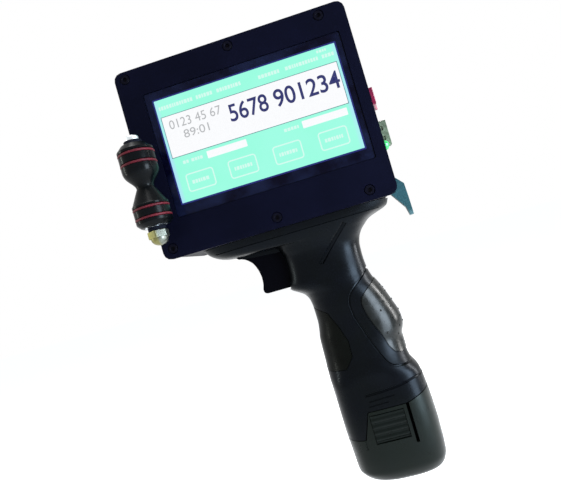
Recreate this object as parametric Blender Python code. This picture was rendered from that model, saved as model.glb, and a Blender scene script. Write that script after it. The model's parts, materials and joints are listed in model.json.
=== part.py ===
"""Handheld date code inkjet printer: a screen box with a guide roller, on a pistol grip with a battery.

All sizes are in millimetres and are scaled to metres when a mesh is made. +Z is up, the screen faces
-Y and the printing end is at -X. The origin is the centre of the battery's flat foot.
"""
import math

import bmesh
import bpy
from mathutils import Matrix, Vector

MM = 0.001
TOUCH = 0.3            # gap left between faces that rest on each other
SLIDE = 0.4            # gap round a piece that slides or turns

# ---- Box: front plate, housing, rear cover ---------------------------------------------------------
PLATE_WIDTH = 121.4
PLATE_HEIGHT = 99.0
PLATE_THICK = 2.5
PLATE_CORNER = 4.0
PLATE_CENTRE_X = -30.75
PLATE_FRONT_Y = -30.0
SIDE_INSET = 2.0       # how far the plate stands out past the housing on each side
TOP_INSET = 0.8
BOTTOM_INSET = 0.5
HOUSING_DEPTH = 53.4
HOUSING_WALL = 3.0
HOUSING_CORNER = 3.5
COVER_THICK = 3.0
WINDOW_WIDTH = 103.5
WINDOW_HEIGHT = 65.4
WINDOW_LEFT = 12.2     # plate's left edge to the window
WINDOW_BOTTOM = 19.3   # plate's bottom edge to the window
WINDOW_CORNER = 1.0
SCREW_LEFT = 5.4       # plate edge to the left column of screws
SCREW_RIGHT = 13.3
SCREW_TOP = 3.9
SCREW_BOTTOM = 5.2
SCREW_POST = 8.0       # width of the square posts that take the screws
SHORT_POST = 12.0

# ---- Countersunk screw ------------------------------------------------------------------------------
SCREW_HEAD_R = 2.6
SCREW_HEAD_H = 1.5
SCREW_SHANK_R = 1.4
SCREW_LENGTH = 9.0
SOCKET_R = 1.1
SOCKET_DEPTH = 1.0

# ---- Display stack ----------------------------------------------------------------------------------
GLASS_THICK = 1.8
GLASS_RECESS = 0.5     # glass face behind the plate's face
MODULE_LIP = 3.0       # display frame past the glass
MODULE_THICK = 5.0
BOARD_MARGIN = 4.0
BOARD_SIDE_GAP = 12.7   # board's right edge to the screen module's, clear of the switch
BOARD_THICK = 1.6
BOARD_POST_R = 3.0
BOARD_POST_H = 3.0
CHIP_HEIGHT = 2.4

# ---- Right side: rocker switch, socket, lamp --------------------------------------------------------
SWITCH_Y = -11.6
SWITCH_RISE = 51.6     # heights on the right side are above the plate's bottom edge
SWITCH_FLANGE_L = 21.0
SWITCH_FLANGE_H = 13.6
SWITCH_FLANGE_T = 2.0
SWITCH_BODY_L = 18.6
SWITCH_BODY_H = 11.4
SWITCH_BODY_D = 14.0
SWITCH_WELL_L = 16.2
SWITCH_WELL_H = 9.3
SWITCH_WELL_D = 7.0
ROCKER_L = 14.8
ROCKER_RISE = 5.6
ROCKER_DROP = 3.6
ROCKER_TILT = 8.0      # degrees each side of level
SOCKET_Y = -17.0
SOCKET_RISE = 31.6
SHELL_H = 13.0         # USB-A socket shell, standing upright
SHELL_W = 5.8
SHELL_T = 0.5
SHELL_LENGTH = 14.0
SHELL_REACH = 7.0      # how far the shell stands out of the housing
TONGUE_H = 10.4
TONGUE_W = 1.8
LAMP_RISE = 24.8
LAMP_Y = -23.4
LAMP_R = 2.5
LAMP_FLANGE_R = 3.0
LAMP_REACH = 4.6

# ---- Cartridge stall on the rear cover --------------------------------------------------------------
STALL_INSET = 0.5      # stall's sides inside the housing's
STALL_RISE = 12.8      # stall's bottom above the housing's bottom
STALL_DROP = 9.0       # stall's top below the housing's top
STALL_DEPTH = 25.4
STALL_WALL = 2.5
STALL_CORNER = 3.0
STALL_POST_R = 2.4
CARTRIDGE_LENGTH = 68.0
CARTRIDGE_THICK = 24.0
CARTRIDGE_CORNER = 3.0
SNOUT_LENGTH = 7.6
SNOUT_HEIGHT = 21.0
SNOUT_THICK = 15.0
SNOUT_RISE = 42.0      # above the stall's bottom
NOZZLE_H = 14.0
NOZZLE_W = 9.0
NOZZLE_T = 0.5
CONTACT_T = 1.4
CONTACT_W = 26.0
CONTACT_H = 44.0

# ---- Latch lever ------------------------------------------------------------------------------------
LATCH_ARM = 27.1       # cartridge's end to the latch's pin
LATCH_RISE = 40.0      # above the stall's bottom
LATCH_THICK = 4.0
LATCH_Y = 42.0
LATCH_HUB_R = 6.0
LATCH_PIN_R = 2.2
LATCH_OPEN = 40.0      # degrees

# ---- Guide roller -----------------------------------------------------------------------------------
ROLLER_INSET = 4.65    # plate's left edge to the roller's axis
ROLLER_STANDOFF = 13.0 # plate's face to the roller's axis
ROLLER_RISE = 16.6     # above the plate's bottom edge
ROLLER_LENGTH = 40.9
ROLLER_R = 8.8
ROLLER_WAIST_R = 4.3
ROLLER_WAIST = 19.6    # heights on the roller are above its lower end
ROLLER_CHAMFER = 2.4
ROLLER_BORE_R = 3.0
ROLLER_SIDES = 24
RING_PLACES = (36.2, 31.0, 9.2, 4.4)
RING_R = 0.7           # section radius of the rubber rings
RING_SINK = 1.1        # how deep a ring lies in its groove
BEARING_R = 5.6
BEARING_H = 3.0
BEARING_PLAY = 0.1
AXLE_R = 2.2
AXLE_HEAD_R = 3.4
AXLE_HEAD_H = 2.4
ARM_THICK = 1.6
ARM_BOSS_R = 4.4
NUT_R = 5.3
NUT_HEX_H = 3.6
NUT_HEIGHT = 7.2
BRACKET_WEB = 2.4
BRACKET_BACK_Y = -9.0
BRACKET_SCREWS = (13.5, 29.5)

# ---- Grip: (height, front x, back x, half depth, squareness) ----------------------------------------
GRIP_STATIONS = (
    (0.0, -13.5, 13.2, 12.0, 2.6), (0.9, -20.5, 16.4, 15.5, 2.7), (3.4, -25.0, 18.2, 18.4, 2.9),
    (8.0, -27.9, 19.6, 20.6, 3.1), (16.3, -28.3, 20.0, 21.6, 3.2), (24.0, -28.8, 20.2, 21.8, 3.2),
    (31.3, -29.1, 20.1, 21.6, 3.2), (37.7, -29.2, 19.8, 21.2, 3.2), (48.3, -29.3, 19.0, 20.3, 3.2),
    (52.5, -29.4, 18.2, 20.0, 3.2), (57.7, -29.5, 15.5, 19.8, 3.1), (60.9, -29.5, 14.8, 19.2, 2.9),
    (65.1, -29.3, 14.5, 18.2, 2.7), (70.5, -29.1, 14.5, 17.6, 2.6), (75.9, -28.9, 16.3, 17.3, 2.5),
    (79.1, -28.7, 16.5, 17.2, 2.5), (83.4, -27.9, 15.9, 17.1, 2.5), (88.7, -27.3, 14.2, 17.0, 2.5),
    (95.0, -27.4, 12.0, 17.0, 2.5), (100.3, -28.0, 9.8, 16.8, 2.5), (104.1, -29.8, 8.0, 16.6, 2.5),
    (106.5, -33.0, 7.2, 16.5, 2.6), (108.9, -36.6, 6.6, 16.4, 2.7), (111.2, -37.6, 6.3, 16.3, 2.9),
    (115.7, -36.3, 6.0, 16.2, 3.0), (121.8, -35.9, 6.2, 16.2, 3.0), (126.2, -36.2, 7.2, 16.6, 3.0),
    (130.0, -37.0, 9.3, 17.6, 3.0), (133.0, -39.0, 12.4, 19.0, 3.0), (133.5, -59.0, 12.9, 19.2, 3.2),
    (134.4, -65.5, 14.0, 19.6, 3.3), (136.0, -70.0, 17.4, 20.2, 3.4), (138.9, -74.2, 25.5, 21.0, 3.6),
    (141.9, -76.4, 27.0, 21.4, 3.8),
)
GRIP_POINTS = 26
WALL = 2.3
PAD_THICK = 1.9
PAD_OUTLINE = (
    (11.0, 105.0), (7.4, 102.4), (1.8, 98.6), (-1.4, 95.9), (-2.2, 92.8), (-1.1, 86.6), (1.1, 80.5),
    (3.7, 74.5), (5.4, 68.4), (7.5, 64.9), (11.0, 63.3), (14.5, 63.8), (34.0, 66.0), (34.0, 105.0),
)
FRONT_GRIP_OUTLINE = (
    (-42.0, 96.4), (-27.0, 96.0), (-20.8, 92.3), (-17.0, 84.2), (-14.3, 76.0), (-14.6, 68.0),
    (-19.0, 62.4), (-42.0, 61.8),
)
SPLIT = 0.15           # half of the gap between the handle halves
HANDLE_SCREWS = ((2.0, 128.0), (-22.0, 101.5), (0.0, 104.0), (-22.0, 67.0))
HANDLE_SCREW_LENGTH = 20.0
HANDLE_HEAD_Y = 10.5
WIRE_CHANNEL_X = (-14.0, -2.0)
WIRE_CHANNEL_HALF = 8.0
WIRE_CHANNEL_FLOOR_Z = 98.0
HOLLOW_Z = (65.0, 100.5)
FLANGE_POSTS = (-63.0, 14.0)
FLANGE_POST_R = 2.5
POST_SCREW_GAP = 7.0    # tips of the cover's screws to the posts
FLANGE_POST_H = 4.0

# ---- Trigger ----------------------------------------------------------------------------------------
TRIGGER_FRONT = (
    (-57.5, 132.4), (-55.2, 131.4), (-52.2, 128.6), (-50.5, 125.0), (-49.6, 120.7), (-49.8, 116.4),
    (-50.6, 113.1), (-50.0, 111.3), (-48.4, 110.7),
)
TRIGGER_BACK_X = -31.0
TRIGGER_HALF = 7.6
TRIGGER_TRAVEL = 6.0
SPRING_Z = 117.4
SPRING_R = 2.7
SPRING_WIRE_R = 0.45
SPRING_BORE_R = 3.5
SPRING_BORE_DEPTH = 10.0
SPRING_TURNS = 6
SWITCH_BOX_Z = 127.6
SWITCH_BOX_L = 12.0
SWITCH_BOX_H = 8.6
SWITCH_BOX_HALF = 3.2

# ---- Battery ----------------------------------------------------------------------------------------
PARTING = ((-45.0, 25.6), (-19.4, 25.6), (-14.6, 39.2), (6.0, 39.2), (22.0, 43.4), (40.0, 48.0))
NECK_CENTRE_X = -6.5
NECK_LENGTH = 37.8
NECK_HALF = 17.3
NECK_LID = 1.4
NECK_CORNER = 8.0
NECK_WALL = 1.2
CELL_R = 8.5
CELL_LENGTH = 46.0
CELL_FLOOR_Z = 8.0
CELL_GAP = 0.2
CELL_HEADROOM = 1.6
TERMINAL_X = 6.0
TERMINAL_W = 5.0
TERMINAL_T = 1.0
TERMINAL_REACH = 8.5
BLOCK_LENGTH = 24.0
BLOCK_HALF = 10.0
BLOCK_HEIGHT = 10.4
TAB_LEFT_X = -14.5
TAB_WIDTH = 17.3
TAB_BOTTOM_Z = 23.2
TAB_HEIGHT = 14.1
TAB_THICK = 2.2
TAB_FACE_Y = 21.5
TAB_PRESS = 1.4
TAB_FLOOR_Y = 17.5

# ---- Places worked out from the sizes ---------------------------------------------------------------
PLATE_X = (PLATE_CENTRE_X - PLATE_WIDTH / 2, PLATE_CENTRE_X + PLATE_WIDTH / 2)
PLATE_BOTTOM_Z = GRIP_STATIONS[-1][0] + TOUCH - BOTTOM_INSET
PLATE_Z = (PLATE_BOTTOM_Z, PLATE_BOTTOM_Z + PLATE_HEIGHT)
PLATE_Y = (PLATE_FRONT_Y, PLATE_FRONT_Y + PLATE_THICK)
HOUSING_X = (PLATE_X[0] + SIDE_INSET, PLATE_X[1] - SIDE_INSET)
HOUSING_Z = (PLATE_Z[0] + BOTTOM_INSET, PLATE_Z[1] - TOP_INSET)
HOUSING_Y = (PLATE_Y[1] + TOUCH, PLATE_Y[1] + TOUCH + HOUSING_DEPTH)
COVER_Y = (HOUSING_Y[1] + TOUCH, HOUSING_Y[1] + TOUCH + COVER_THICK)
FLANGE_POST_Y = COVER_Y[1] - SCREW_LENGTH - POST_SCREW_GAP - FLANGE_POST_R
WINDOW_X = (PLATE_X[0] + WINDOW_LEFT, PLATE_X[0] + WINDOW_LEFT + WINDOW_WIDTH)
WINDOW_Z = (PLATE_Z[0] + WINDOW_BOTTOM, PLATE_Z[0] + WINDOW_BOTTOM + WINDOW_HEIGHT)
SCREW_COLUMNS = (PLATE_X[0] + SCREW_LEFT, PLATE_CENTRE_X, PLATE_X[1] - SCREW_RIGHT)
SCREW_ROWS = (PLATE_Z[0] + SCREW_BOTTOM, PLATE_Z[1] - SCREW_TOP)
SWITCH_Z = PLATE_Z[0] + SWITCH_RISE
SOCKET_Z = PLATE_Z[0] + SOCKET_RISE
LAMP_Z = PLATE_Z[0] + LAMP_RISE
STALL_X = (HOUSING_X[0] + STALL_INSET, HOUSING_X[1] - STALL_INSET)
STALL_Y = (COVER_Y[1] + TOUCH, COVER_Y[1] + TOUCH + STALL_DEPTH)
STALL_Z = (HOUSING_Z[0] + STALL_RISE, HOUSING_Z[1] - STALL_DROP)
STALL_FLOOR_Y = STALL_Y[0] + STALL_WALL
SNOUT_Z = STALL_Z[0] + SNOUT_RISE
CARTRIDGE_X = (STALL_X[0] + STALL_WALL + SLIDE, STALL_X[0] + STALL_WALL + SLIDE + CARTRIDGE_LENGTH)
LATCH_X = CARTRIDGE_X[1] + LATCH_ARM
LATCH_Z = STALL_Z[0] + LATCH_RISE
ROLLER_X = PLATE_X[0] + ROLLER_INSET
ROLLER_Y = PLATE_FRONT_Y - ROLLER_STANDOFF
ROLLER_Z = (PLATE_Z[0] + ROLLER_RISE, PLATE_Z[0] + ROLLER_RISE + ROLLER_LENGTH)
HANDLE_TOP_Z = HOUSING_Z[0] - TOUCH
NECK_TOP_Z = CELL_FLOOR_Z + CELL_LENGTH + CELL_HEADROOM + NECK_LID


# ---- Mesh helpers -----------------------------------------------------------------------------------
def new_object(name, shape, smooth_angle=35.0):
    """Make an object in metres from a bmesh in millimetres."""
    bmesh.ops.recalc_face_normals(shape, faces=shape.faces)
    bmesh.ops.scale(shape, vec=(MM, MM, MM), verts=shape.verts)
    mesh = bpy.data.meshes.new(name)
    shape.to_mesh(mesh)
    shape.free()
    obj = bpy.data.objects.new(name, mesh)
    bpy.context.collection.objects.link(obj)
    mesh.shade_smooth()
    mesh.set_sharp_from_angle(angle=math.radians(smooth_angle))
    return obj


def prism(name, outline, low, high, axis="Y"):
    """Extrude an outline along an axis; its two values are the other two axes, in X, Y, Z order."""
    place = {"X": lambda u, v, w: (w, u, v), "Y": lambda u, v, w: (u, w, v),
             "Z": lambda u, v, w: (u, v, w)}[axis]
    shape = bmesh.new()
    face = shape.faces.new([shape.verts.new(place(u, v, low)) for u, v in outline])
    grown = bmesh.ops.extrude_face_region(shape, geom=[face])
    tops = [item for item in grown["geom"] if isinstance(item, bmesh.types.BMVert)]
    shift = Vector(place(0, 0, high)) - Vector(place(0, 0, low))
    bmesh.ops.translate(shape, vec=shift, verts=tops)
    return new_object(name, shape)


def rounded(u_range, v_range, radius, steps=3):
    """A rectangle's outline with round corners."""
    points = []
    corners = ((u_range[1], v_range[1], 0), (u_range[0], v_range[1], 90),
               (u_range[0], v_range[0], 180), (u_range[1], v_range[0], 270))
    middle = (sum(u_range) / 2, sum(v_range) / 2)
    for u, v, start in corners:
        centre_u = u - math.copysign(radius, u - middle[0])
        centre_v = v - math.copysign(radius, v - middle[1])
        for step in range(steps + 1):
            angle = math.radians(start + 90 * step / steps)
            points.append((centre_u + radius * math.cos(angle), centre_v + radius * math.sin(angle)))
    return points


def block(name, x_range, y_range, z_range):
    """A plain box."""
    outline = [(x_range[0], z_range[0]), (x_range[1], z_range[0]),
               (x_range[1], z_range[1]), (x_range[0], z_range[1])]
    return prism(name, outline, y_range[0], y_range[1])


def circle(centre, radius, count=24):
    """Points round a circle."""
    turns = [2 * math.pi * (index + 0.5) / count for index in range(count)]
    return [(centre[0] + radius * math.cos(turn), centre[1] + radius * math.sin(turn)) for turn in turns]


def grow(outline, distance):
    """An outline moved outwards by a distance, for a pocket round a piece."""
    area = sum(a[0] * b[1] - b[0] * a[1] for a, b in zip(outline, outline[1:] + outline[:1]))
    side = math.copysign(distance, area)
    moved = []
    for before, here, after in zip(outline[-1:] + outline[:-1], outline, outline[1:] + outline[:1]):
        into = Vector((here[0] - before[0], here[1] - before[1])).normalized()
        out = Vector((after[0] - here[0], after[1] - here[1])).normalized()
        normal = Vector((into.y + out.y, -into.x - out.x)).normalized()
        reach = side / max(0.5, normal.dot(Vector((into.y, -into.x))))
        moved.append((here[0] + normal.x * reach, here[1] + normal.y * reach))
    return moved


def turned(name, profile, centre, axis="Z", count=24):
    """Turn a profile of (radius, height) points round an axis; a radius of 0 closes the end."""
    turn_to = {"X": Matrix.Rotation(math.pi / 2, 4, "Y"), "Z": Matrix.Identity(4),
               "Y": Matrix.Rotation(-math.pi / 2, 4, "X")}[axis]
    shape = bmesh.new()
    rings = []
    for radius, height in profile:
        if radius == 0:
            rings.append([shape.verts.new((0, 0, height))])
        else:
            rings.append([shape.verts.new((u, v, height)) for u, v in circle((0, 0), radius, count)])
    hollow = profile[0][0] != 0
    pairs = zip(rings, rings[1:] + rings[:1]) if hollow else zip(rings[:-1], rings[1:])
    for lower, upper in pairs:
        for index in range(count):
            after = (index + 1) % count
            corners = [lower[index % len(lower)], lower[after % len(lower)],
                       upper[after % len(upper)], upper[index % len(upper)]]
            shape.faces.new(list(dict.fromkeys(corners)))
    bmesh.ops.transform(shape, matrix=Matrix.Translation(centre) @ turn_to, verts=shape.verts)
    return new_object(name, shape)


def apply_boolean(obj, tool, operation):
    """Apply a Boolean with the exact solver and remove the tool."""
    modifier = obj.modifiers.new(operation.title(), "BOOLEAN")
    modifier.operation = operation
    modifier.object = tool
    bpy.context.view_layer.update()
    result = bpy.data.meshes.new_from_object(obj.evaluated_get(bpy.context.evaluated_depsgraph_get()))
    obj.modifiers.remove(modifier)
    obj.data = result
    result.name = obj.name
    bpy.data.objects.remove(tool)
    return obj


def cut(obj, *tools):
    for tool in tools:
        apply_boolean(obj, tool, "DIFFERENCE")
    return obj


def join(obj, *tools):
    for tool in tools:
        apply_boolean(obj, tool, "UNION")
    return obj


def keep(obj, tool):
    return apply_boolean(obj, tool, "INTERSECT")


def rod(name, centre, radius, low, high, axis, count=24):
    """A plain round bar along an axis; centre is in the other two axes, in X, Y, Z order."""
    return prism(name, circle(centre, radius, count), low, high, axis)


# ---- Materials --------------------------------------------------------------------------------------
FINISHES = {
    "black_aluminium": ((0.012, 0.012, 0.028), 0.45, 0.6),
    "black_plastic": ((0.016, 0.018, 0.019), 0.45, 0.0),
    "grip_rubber": ((0.012, 0.012, 0.013), 0.7, 0.0),
    "battery_plastic": ((0.018, 0.022, 0.022), 0.5, 0.0),
    "ring_rubber": ((0.35, 0.05, 0.07), 0.5, 0.0),
    "bright_steel": ((0.75, 0.75, 0.72), 0.2, 1.0),
    "dark_steel": ((0.03, 0.03, 0.035), 0.35, 0.9),
    "touch_glass": ((0.01, 0.01, 0.02), 0.05, 0.0),
    "board": ((0.02, 0.14, 0.05), 0.5, 0.0),
    "red_plastic": ((0.55, 0.01, 0.03), 0.3, 0.0),
    "green_lens": ((0.1, 0.6, 0.2), 0.15, 0.0),
    "teal_plastic": ((0.05, 0.16, 0.17), 0.4, 0.0),
    "ink_cartridge": ((0.03, 0.03, 0.03), 0.35, 0.0),
    "nozzle_metal": ((0.7, 0.55, 0.25), 0.3, 1.0),
    "cell_wrap": ((0.05, 0.2, 0.5), 0.4, 0.0),
    "socket_plastic": ((0.6, 0.6, 0.58), 0.5, 0.0),
}


def finish(obj, finish_name):
    """Give a piece a material of its own."""
    colour, roughness, metallic = FINISHES[finish_name]
    material = bpy.data.materials.new(obj.name)
    material.use_nodes = True
    shader = material.node_tree.nodes["Principled BSDF"]
    shader.inputs["Base Color"].default_value = (*colour, 1.0)
    shader.inputs["Roughness"].default_value = roughness
    shader.inputs["Metallic"].default_value = metallic
    obj.data.materials.clear()
    obj.data.materials.append(material)
    return obj


# ---- Fasteners --------------------------------------------------------------------------------------
def screw_profile(gap=0.0, length=SCREW_LENGTH):
    """A countersunk screw from its tip up to its head; gap turns it into its hole."""
    tip = -length - (gap * 2)
    return [(0, tip), (SCREW_SHANK_R + gap, tip), (SCREW_SHANK_R + gap, -SCREW_HEAD_H),
            (SCREW_HEAD_R + gap, -gap * 0.5), (SCREW_HEAD_R + gap, gap), (0, gap)]


def screw(name, x, y, z, facing, length=SCREW_LENGTH):
    """A countersunk socket screw whose head is at (x, y, z) and faces -Y, +Y or -X."""
    profile = screw_profile(0.0, length)[:-1]
    profile += [(SOCKET_R, 0.0), (SOCKET_R, -SOCKET_DEPTH), (0, -SOCKET_DEPTH)]
    obj = turned(name, profile, (0, 0, 0), "Z", 12)
    return finish(aim(obj, x, y, z, facing), "dark_steel")


def screw_hole(x, y, z, facing, length=SCREW_LENGTH):
    """The hole that a screw of this length sits in."""
    return aim(turned("hole", screw_profile(TOUCH, length), (0, 0, 0), "Z", 12), x, y, z, facing)


def aim(obj, x, y, z, facing):
    """Turn a piece made along +Z to face a side and put it in its place."""
    turn = {"-Y": Matrix.Rotation(math.pi / 2, 4, "X"), "+Y": Matrix.Rotation(-math.pi / 2, 4, "X"),
            "-X": Matrix.Rotation(-math.pi / 2, 4, "Y")}[facing]
    obj.data.transform(Matrix.Translation((x * MM, y * MM, z * MM)) @ turn)
    return obj


# ---- Box --------------------------------------------------------------------------------------------
def front_plate():
    plate = prism("front_plate", rounded(PLATE_X, PLATE_Z, PLATE_CORNER), *PLATE_Y)
    window = rounded(WINDOW_X, WINDOW_Z, WINDOW_CORNER)
    cut(plate, prism("window", window, PLATE_Y[0] - 1, PLATE_Y[1] + 1))
    for x in SCREW_COLUMNS:
        for z in SCREW_ROWS:
            cut(plate, screw_hole(x, PLATE_Y[0], z, "-Y"))
    return finish(plate, "black_aluminium")


def plate_screws():
    places = [(x, z) for z in reversed(SCREW_ROWS) for x in SCREW_COLUMNS]
    for number, (x, z) in enumerate(places, 1):
        screw(f"plate_screw_{number}", x, PLATE_Y[0], z, "-Y")


def post_for(x, z, y_range):
    """A square post in the housing round a screw, joined to the wall beside it."""
    half = SCREW_POST / 2
    top = z > sum(HOUSING_Z) / 2
    z_range = (z - half, HOUSING_Z[1] - 1) if top else (HOUSING_Z[0] + 1, z + half)
    x_range = (x - half, x + half)
    if x_range[0] < HOUSING_X[0] + HOUSING_WALL:
        x_range = (HOUSING_X[0] + 1, x + half)
    return block("post", x_range, y_range, z_range)


def housing_shell():
    shell = prism("housing_shell", rounded(HOUSING_X, HOUSING_Z, HOUSING_CORNER), *HOUSING_Y)
    inner_x = (HOUSING_X[0] + HOUSING_WALL, HOUSING_X[1] - HOUSING_WALL)
    inner_z = (HOUSING_Z[0] + HOUSING_WALL, HOUSING_Z[1] - HOUSING_WALL)
    cut(shell, prism("inside", rounded(inner_x, inner_z, 1.5), HOUSING_Y[0] - 1, HOUSING_Y[1] + 1))
    for x in (SCREW_COLUMNS[0], SCREW_COLUMNS[-1]):
        for z in SCREW_ROWS:
            join(shell, post_for(x, z, HOUSING_Y))
            cut(shell, screw_hole(x, COVER_Y[1], z, "+Y"))
    for z in SCREW_ROWS:
        join(shell, post_for(SCREW_COLUMNS[1], z, (HOUSING_Y[0], HOUSING_Y[0] + SHORT_POST)))
    for x in SCREW_COLUMNS:
        for z in SCREW_ROWS:
            cut(shell, screw_hole(x, PLATE_Y[0], z, "-Y"))
    wall_x = (HOUSING_X[1] - HOUSING_WALL - 1, HOUSING_X[1] + 1)
    half_l = SWITCH_BODY_L / 2 + TOUCH
    half_h = SWITCH_BODY_H / 2 + TOUCH
    cut(shell, block("switch_hole", wall_x, (SWITCH_Y - half_l, SWITCH_Y + half_l),
                     (SWITCH_Z - half_h, SWITCH_Z + half_h)))
    half_w = SHELL_W / 2 + TOUCH
    half_h = SHELL_H / 2 + TOUCH
    cut(shell, block("socket_hole", wall_x, (SOCKET_Y - half_w, SOCKET_Y + half_w),
                     (SOCKET_Z - half_h, SOCKET_Z + half_h)))
    cut(shell, rod("lamp_hole", (LAMP_Y, LAMP_Z), LAMP_R + TOUCH, *wall_x, "X", 16))
    for z in bracket_screw_heights():
        cut(shell, screw_hole(bracket_face_x(), bracket_screw_y(), z, "-X"))
    wire_y = (-WIRE_CHANNEL_HALF, WIRE_CHANNEL_HALF)
    floor_z = (HOUSING_Z[0] - 1, HOUSING_Z[0] + HOUSING_WALL + 1)
    cut(shell, block("wire_hole", WIRE_CHANNEL_X, wire_y, floor_z))
    for x in FLANGE_POSTS:
        for y in (-FLANGE_POST_Y, FLANGE_POST_Y):
            cut(shell, rod("post_hole", (x, y), FLANGE_POST_R + TOUCH, *floor_z, "Z", 16))
    return finish(shell, "black_aluminium")


def rear_cover():
    cover = prism("rear_cover", rounded(HOUSING_X, HOUSING_Z, HOUSING_CORNER), *COVER_Y)
    for number, (x, z) in enumerate([(x, z) for x in (SCREW_COLUMNS[0], SCREW_COLUMNS[-1])
                                     for z in SCREW_ROWS], 1):
        cut(cover, screw_hole(x, COVER_Y[1], z, "+Y"))
        screw(f"cover_screw_{number}", x, COVER_Y[1], z, "+Y")
    for x, z in stall_posts():
        cut(cover, rod("post_hole", (x, z), STALL_POST_R + TOUCH, COVER_Y[0] - 1, COVER_Y[1] + 1, "Y", 16))
    return finish(cover, "black_aluminium")


# ---- Display ----------------------------------------------------------------------------------------
def display_stack():
    glass_x = (WINDOW_X[0] + TOUCH, WINDOW_X[1] - TOUCH)
    glass_z = (WINDOW_Z[0] + TOUCH, WINDOW_Z[1] - TOUCH)
    glass_y = (PLATE_Y[0] + GLASS_RECESS, PLATE_Y[0] + GLASS_RECESS + GLASS_THICK)
    glass = prism("touch_glass", rounded(glass_x, glass_z, WINDOW_CORNER), *glass_y)
    finish(glass, "touch_glass")

    right = min(WINDOW_X[1] + MODULE_LIP, HOUSING_X[1] - HOUSING_WALL - TOUCH)
    module_x = (WINDOW_X[0] - MODULE_LIP, right)
    module_z = (WINDOW_Z[0] - MODULE_LIP, WINDOW_Z[1] + MODULE_LIP)
    module_y = (PLATE_Y[1] + TOUCH, PLATE_Y[1] + TOUCH + MODULE_THICK)
    module = block("display_module", module_x, module_y, module_z)
    raised = prism("screen_step", rounded(glass_x, glass_z, WINDOW_CORNER),
                   glass_y[1] + TOUCH, module_y[0] + 1)
    join(module, raised)
    post_y = (module_y[1] - 1, module_y[1] + BOARD_POST_H)
    board_x = (module_x[0] + BOARD_MARGIN, module_x[1] - BOARD_SIDE_GAP)
    board_z = (module_z[0] + BOARD_MARGIN, module_z[1] - BOARD_MARGIN)
    for x in (board_x[0] + BOARD_POST_R, board_x[1] - BOARD_POST_R):
        for z in (board_z[0] + BOARD_POST_R, board_z[1] - BOARD_POST_R):
            join(module, rod("board_post", (x, z), BOARD_POST_R, *post_y, "Y", 12))
    finish(module, "black_plastic")

    board_y = (post_y[1] + TOUCH, post_y[1] + TOUCH + BOARD_THICK)
    board = block("controller_board", board_x, board_y, board_z)
    chip_y = (board_y[1] - 0.5, board_y[1] + CHIP_HEIGHT)
    for left, low, width, height in ((14, 30, 18, 18), (40, 14, 12, 10), (40, 34, 10, 14), (62, 22, 16, 9)):
        corner = (board_x[0] + left, board_z[0] + low)
        join(board, block("chip", (corner[0], corner[0] + width), chip_y, (corner[1], corner[1] + height)))
    finish(board, "board")


# ---- Right side -------------------------------------------------------------------------------------
def rocker_switch():
    face_x = HOUSING_X[1] + TOUCH
    flange_x = (face_x, face_x + SWITCH_FLANGE_T)

    def ranges(length, height):
        return (SWITCH_Y - length / 2, SWITCH_Y + length / 2), (SWITCH_Z - height / 2, SWITCH_Z + height / 2)

    frame = prism("switch_frame", rounded(*ranges(SWITCH_FLANGE_L, SWITCH_FLANGE_H), 1.0), *flange_x, "X")
    join(frame, block("body", (face_x - SWITCH_BODY_D, face_x + 1), *ranges(SWITCH_BODY_L, SWITCH_BODY_H)))
    well_x = (flange_x[1] - SWITCH_WELL_D, flange_x[1] + 1)
    cut(frame, block("well", well_x, *ranges(SWITCH_WELL_L, SWITCH_WELL_H)))
    finish(frame, "black_plastic")

    pivot = Vector((flange_x[1] - 1.4, SWITCH_Y))
    half = ROCKER_L / 2
    outline = [(-ROCKER_DROP, -half * 0.62), (-0.6, -half), (ROCKER_RISE, -half), (ROCKER_RISE - 1.0, 0),
               (ROCKER_RISE, half), (-0.6, half), (-ROCKER_DROP, half * 0.62)]
    tilt = Matrix.Rotation(math.radians(-ROCKER_TILT), 2)
    points = [tuple(pivot + tilt @ Vector(point)) for point in outline]
    height = SWITCH_WELL_H / 2 - SLIDE / 2
    rocker = prism("rocker_button", points, SWITCH_Z - height, SWITCH_Z + height, "Z")
    finish(rocker, "red_plastic")


def usb_socket():
    out_x = HOUSING_X[1] + SHELL_REACH
    shell_x = (out_x - SHELL_LENGTH, out_x)

    def ranges(width, height):
        return (SOCKET_Y - width / 2, SOCKET_Y + width / 2), (SOCKET_Z - height / 2, SOCKET_Z + height / 2)

    shell = prism("usb_shell", rounded(*ranges(SHELL_W, SHELL_H), 0.8, 2), *shell_x, "X")
    hollow = ranges(SHELL_W - 2 * SHELL_T, SHELL_H - 2 * SHELL_T)
    cut(shell, block("hollow", (shell_x[0] - 1, out_x + 1), *hollow))
    finish(shell, "bright_steel")

    base = ranges(SHELL_W - 2 * SHELL_T - 2 * TOUCH, SHELL_H - 2 * SHELL_T - 2 * TOUCH)
    tongue = block("usb_tongue", (shell_x[0], shell_x[0] + 4), *base)
    blade_y = (SOCKET_Y - SHELL_W / 2 + SHELL_T + TOUCH, SOCKET_Y - SHELL_W / 2 + SHELL_T + TOUCH + TONGUE_W)
    join(tongue, block("blade", (shell_x[0] + 2, out_x - 1.5), blade_y,
                       (SOCKET_Z - TONGUE_H / 2, SOCKET_Z + TONGUE_H / 2)))
    finish(tongue, "socket_plastic")


def indicator_lamp():
    face_x = HOUSING_X[1] + TOUCH
    stem = HOUSING_WALL + 0.2
    profile = [(0, -stem), (LAMP_R, -stem), (LAMP_R, 0), (LAMP_FLANGE_R, 0), (LAMP_FLANGE_R, 0.8), (LAMP_R, 0.8),
               (LAMP_R, LAMP_REACH - 1.8), (LAMP_R * 0.87, LAMP_REACH - 0.9), (LAMP_R * 0.5, LAMP_REACH - 0.2),
               (0, LAMP_REACH)]
    lamp = turned("indicator_lamp", profile, (face_x, LAMP_Y, LAMP_Z), "X", 16)
    finish(lamp, "green_lens")


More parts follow.
